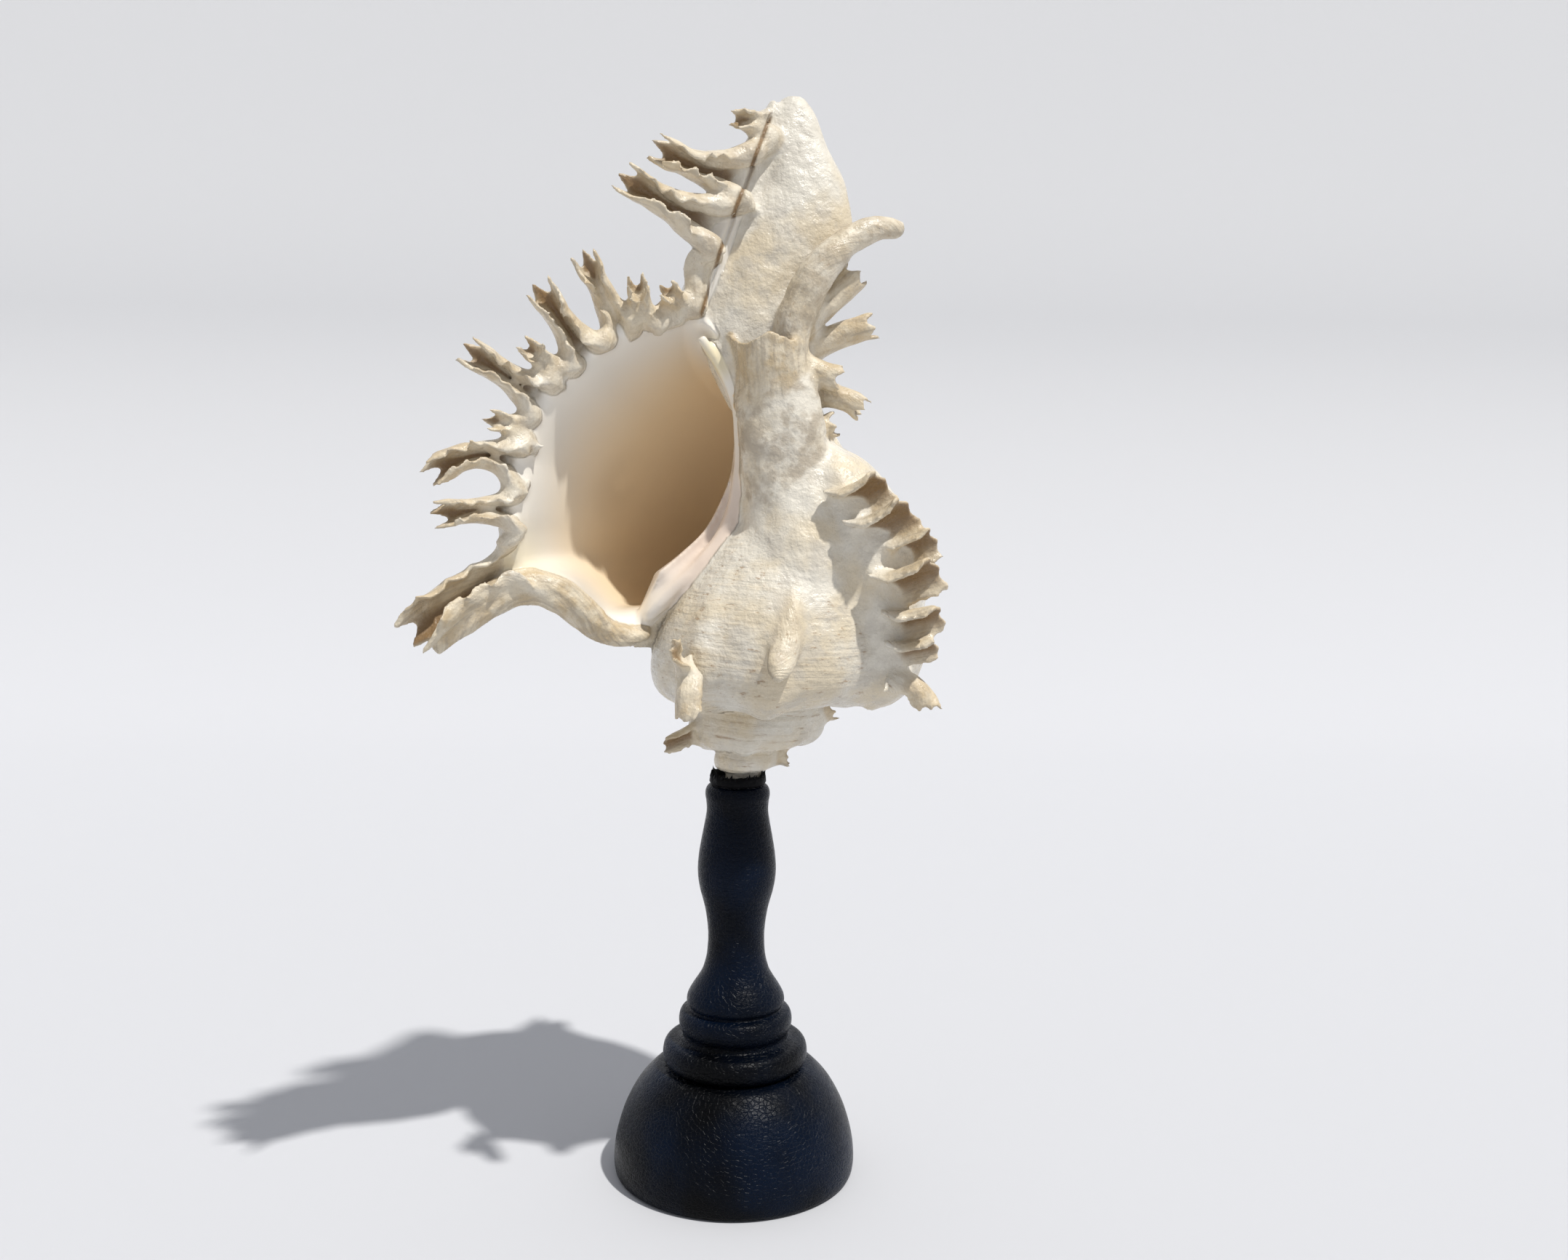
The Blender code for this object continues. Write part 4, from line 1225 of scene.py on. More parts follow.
@dataclass(frozen=True)
class LipFronds:
    """The row of fronds on the lip and canal, and the rolled arches between neighbours."""

    fronds: tuple[Frond, ...] = (
        Frond((5.0, 0.5, 252.5), (-2.2, -8.0, 252.6), 4.0, 1.4, seed=1),
        Frond((2.0, -3.0, 239.5), (-19.0, -14.0, 244.8), 7.0, 2.0, (0.0, 0.0, -2.0), neck=0.85,
              seed=2),
        Frond((-4.0, -7.0, 228.0), (-26.0, -17.0, 238.0), 6.6, 2.1, (0.0, 0.0, -1.5), neck=0.8,
              seed=3),
        Frond((-13.5, -8.9, 210.0), (-17.1, -16.0, 215.0), 4.0, 1.3, seed=4),
        Frond((-22.0, -11.4, 206.0), (-23.4, -19.0, 216.0), 5.0, 1.4, seed=5),
        Frond((-26.5, -12.4, 204.5), (-34.6, -22.0, 220.5), 5.5, 1.6, seed=6),
        Frond((-34.5, -15.9, 199.0), (-43.8, -25.5, 213.4), 6.5, 2.0, seed=7),
        Frond((-39.5, -17.9, 194.5), (-47.0, -27.0, 201.4), 5.0, 1.3, seed=8),
        Frond((-43.5, -19.9, 189.5), (-58.8, -29.0, 199.8), 6.0, 1.9, seed=9),
        Frond((-47.0, -21.4, 183.0), (-54.6, -28.0, 185.4), 4.5, 1.2, seed=10),
        Frond((-48.0, -21.9, 174.5), (-66.2, -31.0, 173.6), 6.5, 1.9, (0.0, 0.0, 7.0), seed=11),
        Frond((-48.5, -21.9, 165.0), (-65.0, -32.0, 164.6), 6.5, 1.8, (0.0, 0.0, 1.5), seed=12),
        Frond((-47.0, -17.9, 151.0), (-70.4, -30.5, 137.6), 7.5, 3.2, (-1.0, 0.0, 4.0),
              (-0.1, -0.9, 0.5), 156.0, 1.8, 0.4, 1.0, 13),
    )
    arch_middles: dict[int, Point] = field(default_factory=lambda: {
        0: (3.6, -4.5, 247.6), 1: (-3.8, -8.5, 235.5), 2: (-10.4, -10.5, 221.0),
    })
    arch_radius: float = 1.8
    foot_band: Tube = Tube((
        (-67.5, -29.0, 134.6, 1.2, 1.2), (-61.0, -27.5, 141.0, 2.8, 2.2),
        (-54.0, -25.0, 146.2, 3.4, 2.6), (-47.0, -22.0, 148.0, 3.6, 2.8),
        (-40.5, -19.8, 146.0, 3.6, 2.8), (-35.6, -17.0, 141.6, 3.4, 2.6),
        (-31.0, -14.2, 137.2, 2.8, 2.3), (-25.5, -11.6, 135.6, 2.0, 1.8),
        (-21.0, -9.5, 136.2, 1.2, 1.2),
    ), sides=60, leaf=0.6, lumps=0.35, seed=39, worn=0.45, flutes=(9, 0.55))

    def arch(self, index: int) -> Tube:
        """The rolled edge that runs from one frond's lower margin round to the next one's.

        Args:
            index: Number of the upper frond.

        Returns:
            The arch.
        """
        upper, lower = self.fronds[index], self.fronds[index + 1]
        shares = (0.8, 0.55, 0.3, 0.12)
        start = [upper.margin(share, -1) for share in shares]
        end = [lower.margin(share, 1) for share in reversed(shares)]
        middle = self.arch_middles.get(index)
        if middle is None:
            edge = smooth_curve(LIP_EDGE, 120)
            between = (upper.margin(0.05, -1) + lower.margin(0.05, 1)) / 2
            nearest = edge[np.argmin(np.linalg.norm((edge - between)[:, (0, 2)], axis=1))]
            middle = nearest + units(nearest - edge.mean(axis=0)) * 1.2
        places = start + [np.array(middle)] + end
        scales = (0.3, 0.6, 0.85, 0.95, 1.0, 0.95, 0.85, 0.6, 0.3)
        size = self.arch_radius * (1.35 if index in self.arch_middles else 1.0)
        return Tube(tuple((*place, size * s, size * s * 0.85) for place, s in zip(places, scales)),
                    sides=24, leaf=0.35, lumps=0.3, seed=40 + index, rings=0.2, flutes=(5, 0.4))

    def skins(self) -> list[Skin]:
        """Every frond and every arch."""
        arches = [self.arch(index).skin() for index in range(len(self.fronds) - 1)]
        return [frond.skin() for frond in self.fronds] + arches + [self.foot_band.skin()]


@dataclass(frozen=True)
class RibSpines:
    """Short scoops and spines on the ribs left by earlier lips, and on the spire."""

    shoulder: Tube = Tube((
        (9.0, -5.0, 188.0, 8.0, 7.0), (10.5, -6.5, 178.0, 10.0, 9.0),
        (12.5, -6.5, 169.0, 13.0, 12.0), (14.5, -6.0, 160.0, 16.5, 15.5),
        (15.0, -6.0, 150.0, 18.0, 17.0), (15.0, -6.0, 141.0, 18.0, 18.0),
    ), sides=120, lumps=0.5, seed=49, lined=0.0)
    swelling: Tube = Tube((
        (15.0, -5.0, 181.0, 3.0, 5.0), (21.0, -6.0, 172.5, 8.5, 11.0),
        (25.0, -6.0, 165.5, 11.0, 13.5), (28.5, -6.0, 158.0, 12.5, 15.0),
        (30.5, -5.5, 150.5, 13.0, 15.5), (31.0, -5.0, 140.0, 13.0, 15.0),
        (31.0, -5.0, 129.0, 12.0, 13.0), (27.0, -4.0, 121.0, 7.0, 8.0),
    ), sides=120, lumps=0.5, seed=50, lined=0.0)
    right: tuple[Frond, ...] = frond_row(51, (
        ((22.5, -17.0, 167.0), (31.8, -21.0, 173.0), 7.0, 4.2),
        ((27.0, -18.5, 160.0), (37.6, -22.5, 167.0), 7.6, 4.8),
        ((32.5, -15.5, 155.5), (43.6, -18.0, 160.6), 6.4, 4.0),
        ((32.0, -19.0, 148.5), (43.8, -23.5, 154.0), 7.0, 4.2),
        ((34.0, -19.0, 140.5), (45.2, -22.5, 143.4), 6.4, 3.4),
        ((34.5, -18.5, 133.5), (44.8, -21.0, 135.8), 5.6, 2.6),
        ((34.0, -17.0, 128.4), (43.4, -19.5, 120.6), 6.2, 2.2, (4.0, 0.0, 3.0),
         (0.2, 0.4, -0.9), 85.0, 1.5),
    ), opens=(-0.3, -0.5, -0.8), curl=85.0, wall=1.8, teeth=0.3)
    front: tuple[Frond, ...] = (
        Frond((-12.5, -24.0, 130.0), (-14.4, -34.0, 135.4), 3.6, 2.3, (0.0, -1.5, 0.0),
              (0.4, -0.6, 0.6), curl=85.0, teeth=0.7, seed=61),
        Frond((-12.5, -26.0, 131.0), (-13.0, -33.6, 120.6), 3.4, 2.6, (0.0, -4.0, 1.5),
              (0.85, 0.3, -0.3), curl=110.0, teeth=0.25, seed=62),
    )
    ridge: Tube = Tube((
        (13.0, -20.0, 154.0, 1.6, 1.0), (11.8, -25.5, 144.0, 3.0, 1.9),
        (10.4, -29.2, 136.6, 3.6, 2.1), (8.9, -32.9, 131.4, 2.8, 2.1),
        (8.4, -34.8, 129.4, 0.9, 0.9),
    ), sides=24, leaf=0.2, lumps=0.15, seed=58)
    spire: tuple[Frond, ...] = frond_row(71, (
        ((-9.0, -4.0, 112.5), (-17.2, -9.0, 109.6), 5.5, 1.8, (0.0, 0.0, 0.0), (-0.3, -0.8, -0.5)),
        ((12.0, -3.0, 114.0), (22.6, -3.0, 117.8), 5.5, 3.2),
        ((7.0, -2.0, 105.5), (12.2, -4.0, 105.0), 3.2, 1.6),
    ), opens=(0.2, 0.9, 0.3), curl=85.0, teeth=0.4)
    back_angle: float = 88.0
    back_row: tuple[tuple[float, float], ...] = (
        (0.10, 15.0), (0.24, 9.0), (0.36, 13.0), (0.49, 9.0), (0.62, 12.0), (0.76, 9.0),
    )

    def back(self, whorls: Whorls) -> list[Frond]:
        """Fronds in a row on the rib that the front view hides.

        Args:
            whorls: The body that they stand on.

        Returns:
            The fronds, each pointing straight out and open towards the growing side.
        """
        flank = smooth_curve(whorls.flank, 60)
        size = whorls.growth.size(self.back_angle)
        turn = math.radians(self.back_angle)
        row = []
        for number, (share, length) in enumerate(self.back_row):
            index = round(share * 59)
            direction = flank[index + 1] - flank[index - 1]
            out = units(np.array([direction[1], -direction[0]]))
            foot = whorls.growth.place((flank[index] - out * 1.5)[None] * size, self.back_angle)
            end = whorls.growth.place((flank[index] * size + out * length * size)[None],
                                      self.back_angle + 3.0)
            row.append(Frond(tuple(foot[0]), tuple(end[0]), 5.0 * size, 2.3 * size,
                             opens=(-math.sin(turn), math.cos(turn), 0.15), curl=110.0,
                             wall=max(2.0 * size, 1.4), seed=80 + number))
        return row

    def skins(self, whorls: Whorls) -> list[Skin]:
        """The skins of every spine."""
        fronds = (*self.right, *self.front, *self.spire, *self.back(whorls))
        return [piece.skin() for piece in (self.shoulder, self.swelling, self.ridge, *fronds)]


@dataclass(frozen=True)
class Shell:
    """Everything that the animal grew, fused into one skin."""

    whorls: Whorls = Whorls()
    canal: Canal = Canal()
    old_canals: OldCanals = OldCanals()
    lip: LipFronds = LipFronds()
    spines: RibSpines = RibSpines()
    triangles: int = 196000
    joint_radius: float = 9.0
    tip_bottom: float = 99.6
    tip_top: float = 101.7
    tip_radius: float = 5.6
    tip_blend: float = 1.2

    SOFTENING_ROUNDS = 3
    SLIT_POINTS = 160
    SLIT_END = 4.0
    FACING_LIMIT = 0.2
    FRONT_LIMIT = 0.004
    PAINT_ROUNDS = 4
    JOINT_ROUNDS = 6
    JOINT_GAIN = 6.0
    SOFTENING_GAIN = 1.6

    def sources(self, material: bpy.types.Material) -> bpy.types.Object:
        """All the overlapping closed shapes as one object.

        Args:
            material: The shell's material.

        Returns:
            An object with paint and grain on each point.
        """
        body = self.whorls.grow(material)
        skins = (self.canal.skins() + self.old_canals.skins() + self.lip.skins()
                 + self.spines.skins(self.whorls))
        rest = Skin.joined(skins).to_object("grown_parts")
        work = bmesh.new()
        work.from_mesh(body.data)
        work.from_mesh(rest.data)
        mesh = bpy.data.meshes.new("grown")
        work.to_mesh(mesh)
        work.free()
        for obj in (body, rest):
            old = obj.data
            bpy.data.objects.remove(obj)
            bpy.data.meshes.remove(old)
        return linked("grown", mesh)

    def fused(self, source: bpy.types.Object, detail: Detail) -> bpy.types.Object:
        """One closed surface round all of the source's shapes.

        Args:
            source: The overlapping shapes.
            detail: How fine the surface is.

        Returns:
            A new object, without attributes.
        """
        obj = linked("shell_skin", source.data.copy())
        remesh = obj.modifiers.new("Fuse", "REMESH")
        remesh.mode = "VOXEL"
        remesh.voxel_size = detail.value * MM
        soften = obj.modifiers.new("Soften", "SMOOTH")
        soften.factor = 0.5
        soften.iterations = self.SOFTENING_ROUNDS
        baked(obj)
        self.largest_body(obj.data)
        LOG.info("fused skin: %d faces", len(obj.data.polygons))
        return obj

    def slit(self, obj: bpy.types.Object) -> bpy.types.Object:
        """Presses the canal's narrow slit into the skin, and paints it dark: painted shade, over
        its own brown, that makes the shallow dent read as a deep slit.

        Args:
            obj: The painted skin.

        Returns:
            The same object.
        """
        mesh, slit = obj.data, self.canal
        places, normals = read(mesh.vertices, "co"), read(mesh.vertices, "normal")
        paint = read(mesh.attributes["paint"].data, "vector")
        course = smooth_curve(slit.slit_course, self.SLIT_POINTS)
        low, high = course[:, 2].min(), course[:, 2].max()
        near = np.flatnonzero((places[:, 2] > low * MM) & (places[:, 2] < high * MM)
                              & (normals[:, 1] < self.FACING_LIMIT)
                              & (places[:, 1] < self.FRONT_LIMIT))
        flat = places[near][:, (0, 2)] / MM
        gaps = np.linalg.norm(flat[:, None] - course[None][..., (0, 2)], axis=2).min(axis=1)
        ends = (ease((flat[:, 1] - low) / self.SLIT_END)
                * ease((high - flat[:, 1]) / self.SLIT_END))
        dip = np.exp(-((gaps / slit.slit_width) ** 2)) * ends
        places[near, 1] += slit.slit_depth * dip * MM
        # painted shade: the slit's dark line stands in for a deeper recess
        paint[near, 2] = np.maximum(paint[near, 2], dip)
        mesh.vertices.foreach_set("co", places.ravel())
        mesh.attributes["paint"].data.foreach_set("vector", paint.ravel())
        return obj

    def thinned(self, obj: bpy.types.Object) -> bpy.types.Object:
        """The skin with fewer triangles where it is flattest, trimmed to stand in its cup."""
        if len(obj.data.polygons) * 2 > self.triangles:
            thin = obj.modifiers.new("Thin out", "DECIMATE")
            thin.ratio = self.triangles / (2 * len(obj.data.polygons))
            baked(obj)
        self.trim_tip(obj.data)
        return obj

    @staticmethod
    def largest_body(mesh: bpy.types.Mesh) -> None:
        """Deletes loose crumbs of a mesh, and keeps its largest body."""
        edges = read(mesh.edges, "vertices", 2, np.int32)
        label = np.arange(len(mesh.vertices))
        while True:
            low = np.minimum(label[edges[:, 0]], label[edges[:, 1]])
            fresh = label.copy()
            np.minimum.at(fresh, edges[:, 0], low)
            np.minimum.at(fresh, edges[:, 1], low)
            fresh = fresh[fresh]
            if np.array_equal(fresh, label):
                break
            label = fresh
        names, counts = np.unique(label, return_counts=True)
        crumbs = np.flatnonzero(label != names[np.argmax(counts)])
        work = bmesh.new()
        work.from_mesh(mesh)
        work.verts.ensure_lookup_table()
        bmesh.ops.delete(work, geom=[work.verts[i] for i in crumbs], context="VERTS")
        work.to_mesh(mesh)
        work.free()

    def trim_tip(self, mesh: bpy.types.Mesh) -> None:
        """Draws the shell's tip in, so that it stands in its cup of putty.

        Args:
            mesh: The fused mesh, in metres.
        """
        places = read(mesh.vertices, "co") / MM
        reach = np.hypot(places[:, 0], places[:, 1])
        low = ease((self.tip_top + self.tip_blend - places[:, 2]) / self.tip_blend)
        limit = np.minimum(1.0, self.tip_radius / np.maximum(reach, 1e-6))
        scale = 1.0 + (limit - 1.0) * low
        places[:, :2] *= scale[:, None]
        places[:, 2] = np.maximum(places[:, 2], self.tip_bottom)
        mesh.vertices.foreach_set("co", (places * MM).ravel().astype(np.float32))

    def painted(self, obj: bpy.types.Object, source: bpy.types.Object,
                material: bpy.types.Material, rounds: int) -> bpy.types.Object:
        """Carries paint and grain over from the nearest place on the source.

        Args:
            obj: The fused skin.
            source: The shapes that it was fused from.
            material: The shell's material.
            rounds: How many times the skin is smoothed where two shapes join.

        Returns:
            The fused skin, painted.
        """
        tree = NodeTree("Carry paint", {"Source": source, "Joint smoothing": rounds,
                                        "Material": material})
        info = tree.add("ObjectInfo", {"Object": tree.given("Source")},
                        transform_space="ORIGINAL")
        sampled = {}
        for name, kind in (("paint", "FLOAT_VECTOR"), ("grain", "FLOAT_VECTOR"),
                           ("part", "FLOAT")):
            sampled[name] = tree.add("SampleNearestSurface", {
                "Mesh": info.outputs["Geometry"], "Value": tree.attribute(name, kind),
            }, data_type=kind).outputs["Value"]
        geometry = tree.stored(tree.given("Geometry"), "part", sampled["part"], "FLOAT")
        geometry = tree.stored(geometry, "grain", sampled["grain"], "FLOAT_VECTOR")
        paint = tree.blurred(sampled["paint"], self.PAINT_ROUNDS, "FLOAT_VECTOR")
        geometry = tree.stored(geometry, "paint", paint, "FLOAT_VECTOR")
        part = tree.attribute("part")
        around = tree.blurred(part, self.PAINT_ROUNDS, "FLOAT")
        gap = tree.maths("ABSOLUTE", tree.maths("SUBTRACT", around, part))
        seam = tree.maths("MINIMUM", tree.times(gap, self.JOINT_GAIN), 1.0)
        joint = tree.blurred(seam, self.JOINT_ROUNDS, "FLOAT")
        geometry = tree.stored(geometry, "joint", joint, "FLOAT")
        place = tree.add("InputPosition").outputs[0]
        soft = tree.blurred(place, tree.given("Joint smoothing"), "FLOAT_VECTOR")
        near = tree.maths("MINIMUM", tree.times(tree.attribute("joint"), self.SOFTENING_GAIN), 1.0)
        mixed = tree.add("Mix", {0: near, 4: place, 5: soft}, data_type="VECTOR").outputs[1]
        tree.end(tree.moved(geometry, mixed), tree.given("Material"))
        tree.run(obj)
        bpy.data.objects.remove(source)
        return obj

    def build(self, detail: Detail) -> bpy.types.Object:
        """Grows, fuses and paints the shell.

        Args:
            detail: How fine the fused surface is.

        Returns:
            The finished piece, which stands for the CAD node.
        """
        material = ShellFinish().make()
        source = self.sources(material)
        skin = self.fused(source, detail)
        rounds = round(self.joint_radius / detail.value)
        piece = self.thinned(self.slit(self.painted(skin, source, material, rounds)))
        piece.name = "murex_shell"
        piece.data.shade_smooth()
        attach(piece, "root")
        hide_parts("shell")
        LOG.info("shell: %d faces", len(piece.data.polygons))
        return piece


# Stand.


@dataclass(frozen=True)
class Turning:
    """Something turned on a lathe, from corners of its profile as radius and height."""

    name: str
    node: str
    corners: tuple[tuple[float, float], ...]
    rows: int = 120
    sides: int = 144
    ripple: float = 0.05

    RIPPLE_RISE = 0.3
    RIPPLE_SCALE = 2.2

    def tree(self, material: bpy.types.Material) -> NodeTree:
        """Geometry Nodes that turn a strip of profile points round the Z axis.

        Args:
            material: The material of the result.

        Returns:
            The tree, which reads radius and height as x and y, and the attribute turn.
        """
        tree = NodeTree("Turn on the lathe", {"Unit": MM, "Ripple": self.ripple, "Seed": 3.0,
                                              "Material": material})
        profile = tree.parts(tree.add("InputPosition").outputs[0])
        turn = tree.attribute("turn")
        cosine, sine = tree.maths("COSINE", turn), tree.maths("SINE", turn)
        noise = tree.add("TexNoise", {
            "Vector": tree.vector(cosine, sine, tree.times(profile[1], self.RIPPLE_RISE)),
            "W": tree.given("Seed"), "Scale": self.RIPPLE_SCALE, "Detail": 2.0},
            noise_dimensions="4D")
        uneven = tree.times(tree.maths("SUBTRACT", noise.outputs[0], 0.5), tree.given("Ripple"))
        on_wall = tree.maths("GREATER_THAN", profile[0], 1.0)
        radius = tree.maths("ADD", profile[0], tree.times(uneven, on_wall))
        place = tree.vector(tree.times(radius, cosine), tree.times(radius, sine), profile[1])
        turned = tree.moved(tree.given("Geometry"), tree.metres(place))
        merged = tree.add("MergeByDistance", {"Geometry": turned, "Distance": MERGE_DISTANCE})
        tree.end(merged.outputs[0], tree.given("Material"))
        return tree

    def profile(self) -> np.ndarray:
        """The rounded profile, from the axis at the bottom to the axis at the top."""
        corners = np.array(self.corners)
        body = smooth_curve(corners[1:-1], self.rows)
        return np.vstack([corners[:1], body, corners[-1:]])

    def build(self, material: bpy.types.Material) -> bpy.types.Object:
        """Turns the piece.

        Args:
            material: Its finish.

        Returns:
            The finished piece, which stands for its CAD node.
        """
        profile = self.profile()
        turns = np.linspace(0.0, 2.0 * math.pi, self.sides, endpoint=False)
        count = len(profile)
        points = np.column_stack([np.tile(profile, (self.sides, 1)),
                                  np.zeros(count * self.sides)])
        faces = [(s * count + i, (s + 1) % self.sides * count + i,
                  (s + 1) % self.sides * count + i + 1, s * count + i + 1)
                 for s in range(self.sides) for i in range(count - 1)]
        mesh = new_mesh(self.name, points, faces)
        store(mesh, "turn", np.repeat(turns, count))
        piece = self.tree(material).run(linked(self.name, mesh))
        outwards(piece.data)
        piece.data.shade_smooth()
        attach(piece, "root")
        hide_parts(self.node)
        LOG.info("%s: %d faces", self.name, len(piece.data.polygons))
        return piece


@dataclass(frozen=True)
class Stand:
    """The dome and the column that is turned to look like a baluster."""

    base_radius: float = 29.9
    base_top: float = 27.2
    column_bottom: float = 27.5
    column_top: float = 98.0

    def base(self) -> Turning:
        """The dome with its flat underside."""
        r = self.base_radius
        return Turning("stand_dome", "stand_base", (
            (0.0, 0.0), (r - 6.0, 0.0), (r - 1.4, 0.0), (r - 0.7, 0.2), (r - 0.2, 1.0), (r, 4.0),
            (29.3, 9.0), (27.3, 15.7), (24.1, 21.8), (20.6, 25.8), (18.6, 27.0),
            (16.0, self.base_top), (9.0, self.base_top), (0.0, self.base_top),
        ), rows=110)

    def column(self) -> Turning:
        """The column: a flange, a bead, a bell foot and a vase-shaped shaft."""
        low, top = self.column_bottom, self.column_top
        return Turning("stand_baluster", "stand_column", (
            (0.0, low), (12.0, low), (16.2, low), (16.6, low + 0.1), (17.4, 28.4), (17.8, 29.4),
            (17.85, 30.8), (17.6, 32.2), (17.0, 33.2), (16.0, 33.7), (14.2, 33.9), (13.2, 34.3),
            (12.95, 35.0), (13.1, 35.8), (13.65, 36.8), (13.95, 38.2), (13.85, 39.8),
            (13.3, 41.0), (12.2, 41.55), (11.5, 41.8), (11.4, 42.3), (11.9, 43.0), (12.05, 43.9),
            (11.7, 45.3), (10.6, 47.3), (9.3, 49.3), (8.1, 51.6), (7.2, 55.2), (6.9, 59.6),
            (7.1, 63.0), (7.6, 66.5), (8.35, 69.6), (8.9, 71.6), (9.4, 74.4), (9.55, 77.4),
            (9.25, 81.0), (8.6, 84.9), (7.95, 88.4), (7.5, 91.4), (7.6, 93.8), (7.85, 95.4),
            (7.75, 96.6), (7.3, 97.5), (6.6, top - 0.05), (6.0, top), (3.0, top), (0.0, top),
        ), rows=320)

    def build(self) -> None:
        """Builds and dresses both pieces."""
        paint = BlackPaint().make()
        self.base().build(paint)
        self.column().build(paint)


@dataclass(frozen=True)
class PuttyCup:
    """Black putty round the shell's tip: a floor, a low wall, and torn points on its rim."""

    bottom: float = 98.3
    inner: float = 5.9
    wall: float = 1.0
    floor: float = 1.0
    height: float = 2.3
    points: int = 34
    sides: int = 96
    seed: int = 5

    THORN_SIDES = 7
    THORN_LENGTH = 2.2
    THORN_BEND = 0.25
    RIM_RELIEF = 0.55
    RIM_BUMP = 1.6
    RIM_START = 1.4

    def cup(self) -> tuple[np.ndarray, list[tuple[int, ...]]]:
        """The cup's points in millimetres and its faces."""
        low, out = self.bottom, self.inner + self.wall
        profile = [(0.0, low), (out - 0.3, low), (out, low + 0.5), (out - 0.1, low + 1.5),
                   (self.inner + 0.6, low + self.height), (self.inner, low + self.height - 0.2),
                   (self.inner, low + self.floor), (0.0, low + self.floor)]
        turns = np.linspace(0.0, 2.0 * math.pi, self.sides, endpoint=False)
        rows = []
        for radius, height in profile:
            rows.append(np.stack([radius * np.cos(turns), radius * np.sin(turns),
                                  np.full(self.sides, height)], axis=1))
        points = np.vstack(rows)
        rim = points[:, 2] > low + self.RIM_START
        points[rim, 2] += self.RIM_RELIEF * waver(points, self.RIM_BUMP, self.seed)[rim]
        return points, ring_faces(len(profile), self.sides)

    def thorn(self) -> bpy.types.Object:
        """One torn point of putty: a small bent cone of a few faces."""
        sides = self.THORN_SIDES
        turns = np.linspace(0.0, 2.0 * math.pi, sides, endpoint=False)
        rings = []
        for share, radius in ((-0.3, 0.9), (0.0, 1.0), (0.35, 0.62), (0.7, 0.3), (1.0, 0.06)):
            rings.append(np.stack([
                radius * np.cos(turns) * 0.55 + self.THORN_BEND * share**2,
                radius * np.sin(turns) * 0.75, np.full(sides, share * self.THORN_LENGTH)], axis=1))
        faces = ring_faces(len(rings), sides)
        last = (len(rings) - 1) * sides
        faces += [tuple(range(sides - 1, -1, -1)), tuple(range(last, last + sides))]
        return linked("putty_point",
                      outwards(new_mesh("putty_point", np.vstack(rings) * MM, faces)))

    def tree(self, thorn: bpy.types.Object, material: bpy.types.Material) -> NodeTree:
        """Geometry Nodes that stand torn points on the cup's rim.

        Args:
            thorn: The point that is repeated.
            material: The putty.

        Returns:
            The tree, which starts from the cup.
        """
        tree = NodeTree("Tear rim", {
            "Points": self.points, "Rim radius": (self.inner + 0.45) * MM,
            "Rim height": (self.bottom + self.height - 0.5) * MM, "Seed": self.seed,
            "Point": thorn, "Material": material,
        })
        ring = tree.add("MeshCircle", {"Vertices": tree.given("Points"),
                                       "Radius": tree.given("Rim radius")})
        lift = tree.vector(0.0, 0.0, tree.given("Rim height"))
        raised = tree.add("SetPosition", {"Geometry": ring.outputs[0], "Offset": lift})
        place = tree.parts(tree.add("InputPosition").outputs[0])
        around = tree.maths("ARCTAN2", place[1], place[0])
        lean = tree.add("RandomValue", {2: -0.35, 3: 0.45, 8: tree.given("Seed")})
        twist = tree.add("RandomValue", {2: -0.5, 3: 0.5, 8: 77})
        rotation = tree.vector(twist.outputs[1], lean.outputs[1], around)
        side = tree.maths("ABSOLUTE", tree.maths("COSINE", around))
        tall = tree.maths("ADD", tree.times(side, 0.35),
                          tree.add("RandomValue", {2: 0.2, 3: 0.62, 8: 31}).outputs[1])
        scale = tree.vector(0.8, 0.8, tall)
        point = tree.add("ObjectInfo", {"Object": tree.given("Point")},
                         transform_space="ORIGINAL")
        planted = tree.add("InstanceOnPoints", {
            "Points": raised.outputs[0], "Instance": point.outputs["Geometry"],
            "Rotation": rotation, "Scale": scale})
        whole = tree.add("JoinGeometry", {0: tree.given("Geometry")})
        tree.group.links.new(planted.outputs[0], whole.inputs[0])
        tree.end(whole.outputs[0], tree.given("Material"))
        return tree

    def build(self) -> bpy.types.Object:
        """Presses the putty round the tip.

        Returns:
            The finished piece, which stands for the CAD node.
        """
        points, faces = self.cup()
        mesh = new_mesh("putty", points * MM, faces)
        work = bmesh.new()
        work.from_mesh(mesh)
        bmesh.ops.remove_doubles(work, verts=work.verts, dist=MERGE_DISTANCE)
        work.to_mesh(mesh)
        work.free()
        thorn = self.thorn()
        piece = self.tree(thorn, BlackPutty().make()).run(linked("putty", outwards(mesh)))
        bpy.data.objects.remove(thorn)
        piece.data.shade_smooth()
        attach(piece, "root")
        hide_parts("putty_cup")
        LOG.info("putty: %d faces", len(piece.data.polygons))
        return piece


# Studio.


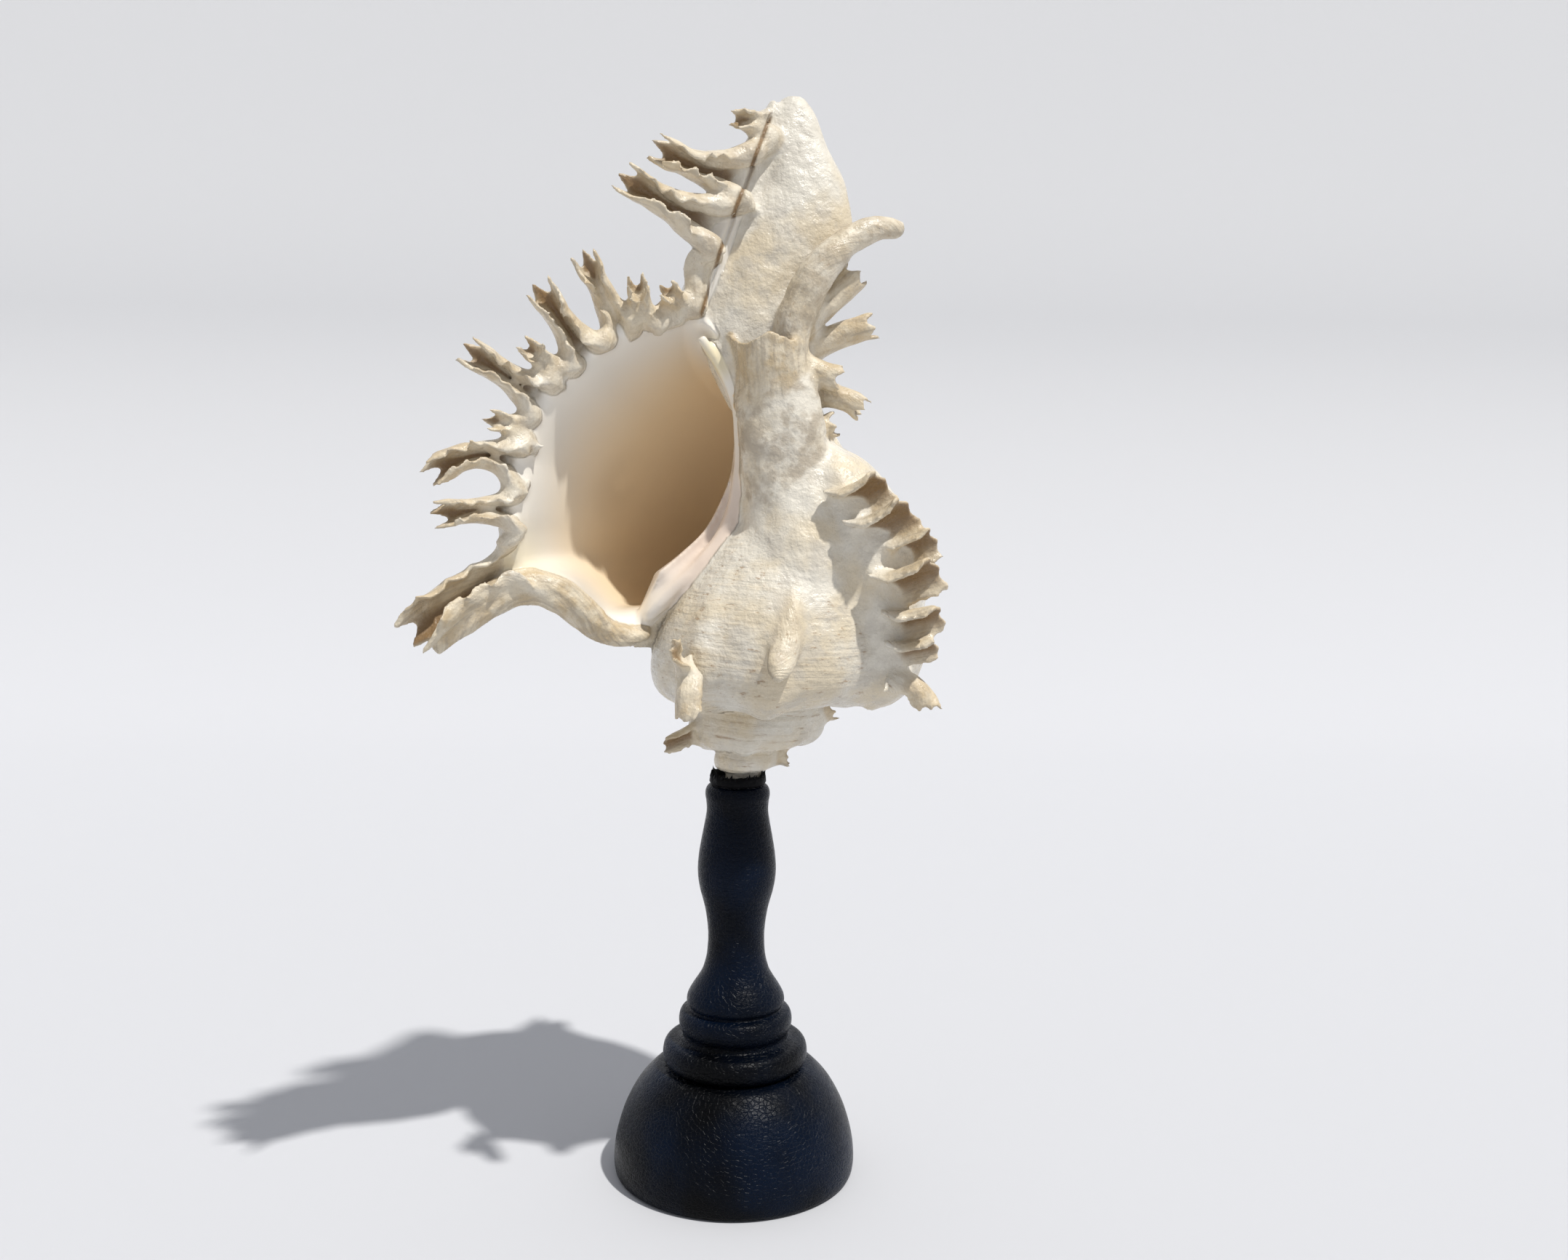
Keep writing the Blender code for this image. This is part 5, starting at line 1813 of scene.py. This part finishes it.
@dataclass(frozen=True)
class Studio:
    """Camera at the photograph's place, a plain pale floor and sweep, and soft light."""

    image_size: tuple[int, int] = (2156, 1733)
    focal_pixels: float = 2250.0
    aim_column: float = 1016.5
    place: Point = (0.0, -0.3888, 0.1905)
    pitch_degrees: float = 8.0
    roll_degrees: float = 0.8
    sun: Point = (0.36, -0.28, 0.89)
    sun_strength: float = 3.4
    sky_strength: float = 0.44
    sun_width_degrees: float = 2.0
    sun_colour: Point = (1.0, 0.975, 0.93)
    sky_colour: Point = (0.92, 0.94, 1.0)

    SENSOR = 36.0
    NEAREST = 0.01
    BEND, DEPTH, HEIGHT = 0.25, 0.75, 2.2
    FRONT_EDGE, HALF_WIDTH = -3.0, 4.0
    BELOW_OBJECT = 0.0002

    def camera(self) -> bpy.types.Object:
        """Sets the camera.

        Returns:
            The camera object.
        """
        data = bpy.data.cameras.new("camera")
        data.sensor_width = self.SENSOR
        data.lens = self.focal_pixels / self.image_size[0] * self.SENSOR
        data.clip_start = self.NEAREST
        pitch, roll = math.radians(self.pitch_degrees), math.radians(self.roll_degrees)
        across = self.aim_column - self.image_size[0] / 2
        right = across * math.cos(roll) / self.focal_pixels
        up = across * math.sin(roll) / self.focal_pixels
        yaw = math.atan2(right, math.cos(pitch) + up * math.sin(pitch))
        level_right = Vector((math.cos(yaw), math.sin(yaw), 0.0))
        ahead = Vector((-math.sin(yaw), math.cos(yaw), 0.0))
        sky = Vector((0.0, 0.0, 1.0))
        forward = ahead * math.cos(pitch) - sky * math.sin(pitch)
        upward = sky * math.cos(pitch) + ahead * math.sin(pitch)
        x = level_right * math.cos(roll) + upward * math.sin(roll)
        y = upward * math.cos(roll) - level_right * math.sin(roll)
        turn = Matrix((x, y, -forward)).transposed().to_4x4()
        camera = bpy.data.objects.new("camera", data)
        camera.matrix_world = Matrix.Translation(self.place) @ turn
        bpy.context.scene.collection.objects.link(camera)
        bpy.context.scene.camera = camera
        return camera

    def ground(self) -> bpy.types.Object:
        """The floor, which curves up into a plain backdrop.

        Returns:
            The floor object.
        """
        bend, depth, height = self.BEND, self.DEPTH, self.HEIGHT
        profile = [(self.FRONT_EDGE, 0.0), (depth - bend, 0.0)]
        profile += [(depth - bend + bend * math.sin(a), bend - bend * math.cos(a))
                    for a in np.linspace(0.0, math.pi / 2, 24)[1:]]
        profile += [(depth, height)]
        points = [(x, y, z - self.BELOW_OBJECT)
                  for x in (-self.HALF_WIDTH, self.HALF_WIDTH) for y, z in profile]
        count = len(profile)
        faces = [(i, count + i, count + i + 1, i + 1) for i in range(count - 1)]
        mesh = new_mesh("ground", points, faces)
        mesh.materials.append(PaleGround().make())
        mesh.shade_smooth()
        ground = linked("ground", mesh)
        return ground

    def lights(self) -> None:
        """One large soft key light from the sun's side, and an even pale sky."""
        data = bpy.data.lights.new("key", "SUN")
        data.energy = self.sun_strength
        data.angle = math.radians(self.sun_width_degrees)
        data.color = self.sun_colour
        key = bpy.data.objects.new("key", data)
        key.rotation_euler = Vector(self.sun).to_track_quat("Z", "Y").to_euler()
        bpy.context.scene.collection.objects.link(key)
        world = bpy.data.worlds.new("pale_sky")
        world.use_nodes = True
        background = world.node_tree.nodes["Background"]
        background.inputs["Color"].default_value = (*self.sky_colour, 1.0)
        background.inputs["Strength"].default_value = self.sky_strength
        bpy.context.scene.world = world
        bpy.context.scene.view_settings.view_transform = "Standard"

    def build(self) -> None:
        """Sets up the whole studio."""
        self.camera()
        self.ground()
        self.lights()
        LOG.info("studio: camera, ground and lights")


def main() -> None:
    """Builds the object and its studio in order."""
    logging.basicConfig(level=logging.INFO, format="%(message)s")
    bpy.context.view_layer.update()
    Studio().build()
    Stand().build()
    PuttyCup().build()
    Shell().build(Detail.FULL)


if __name__ == "__main__":
    main()
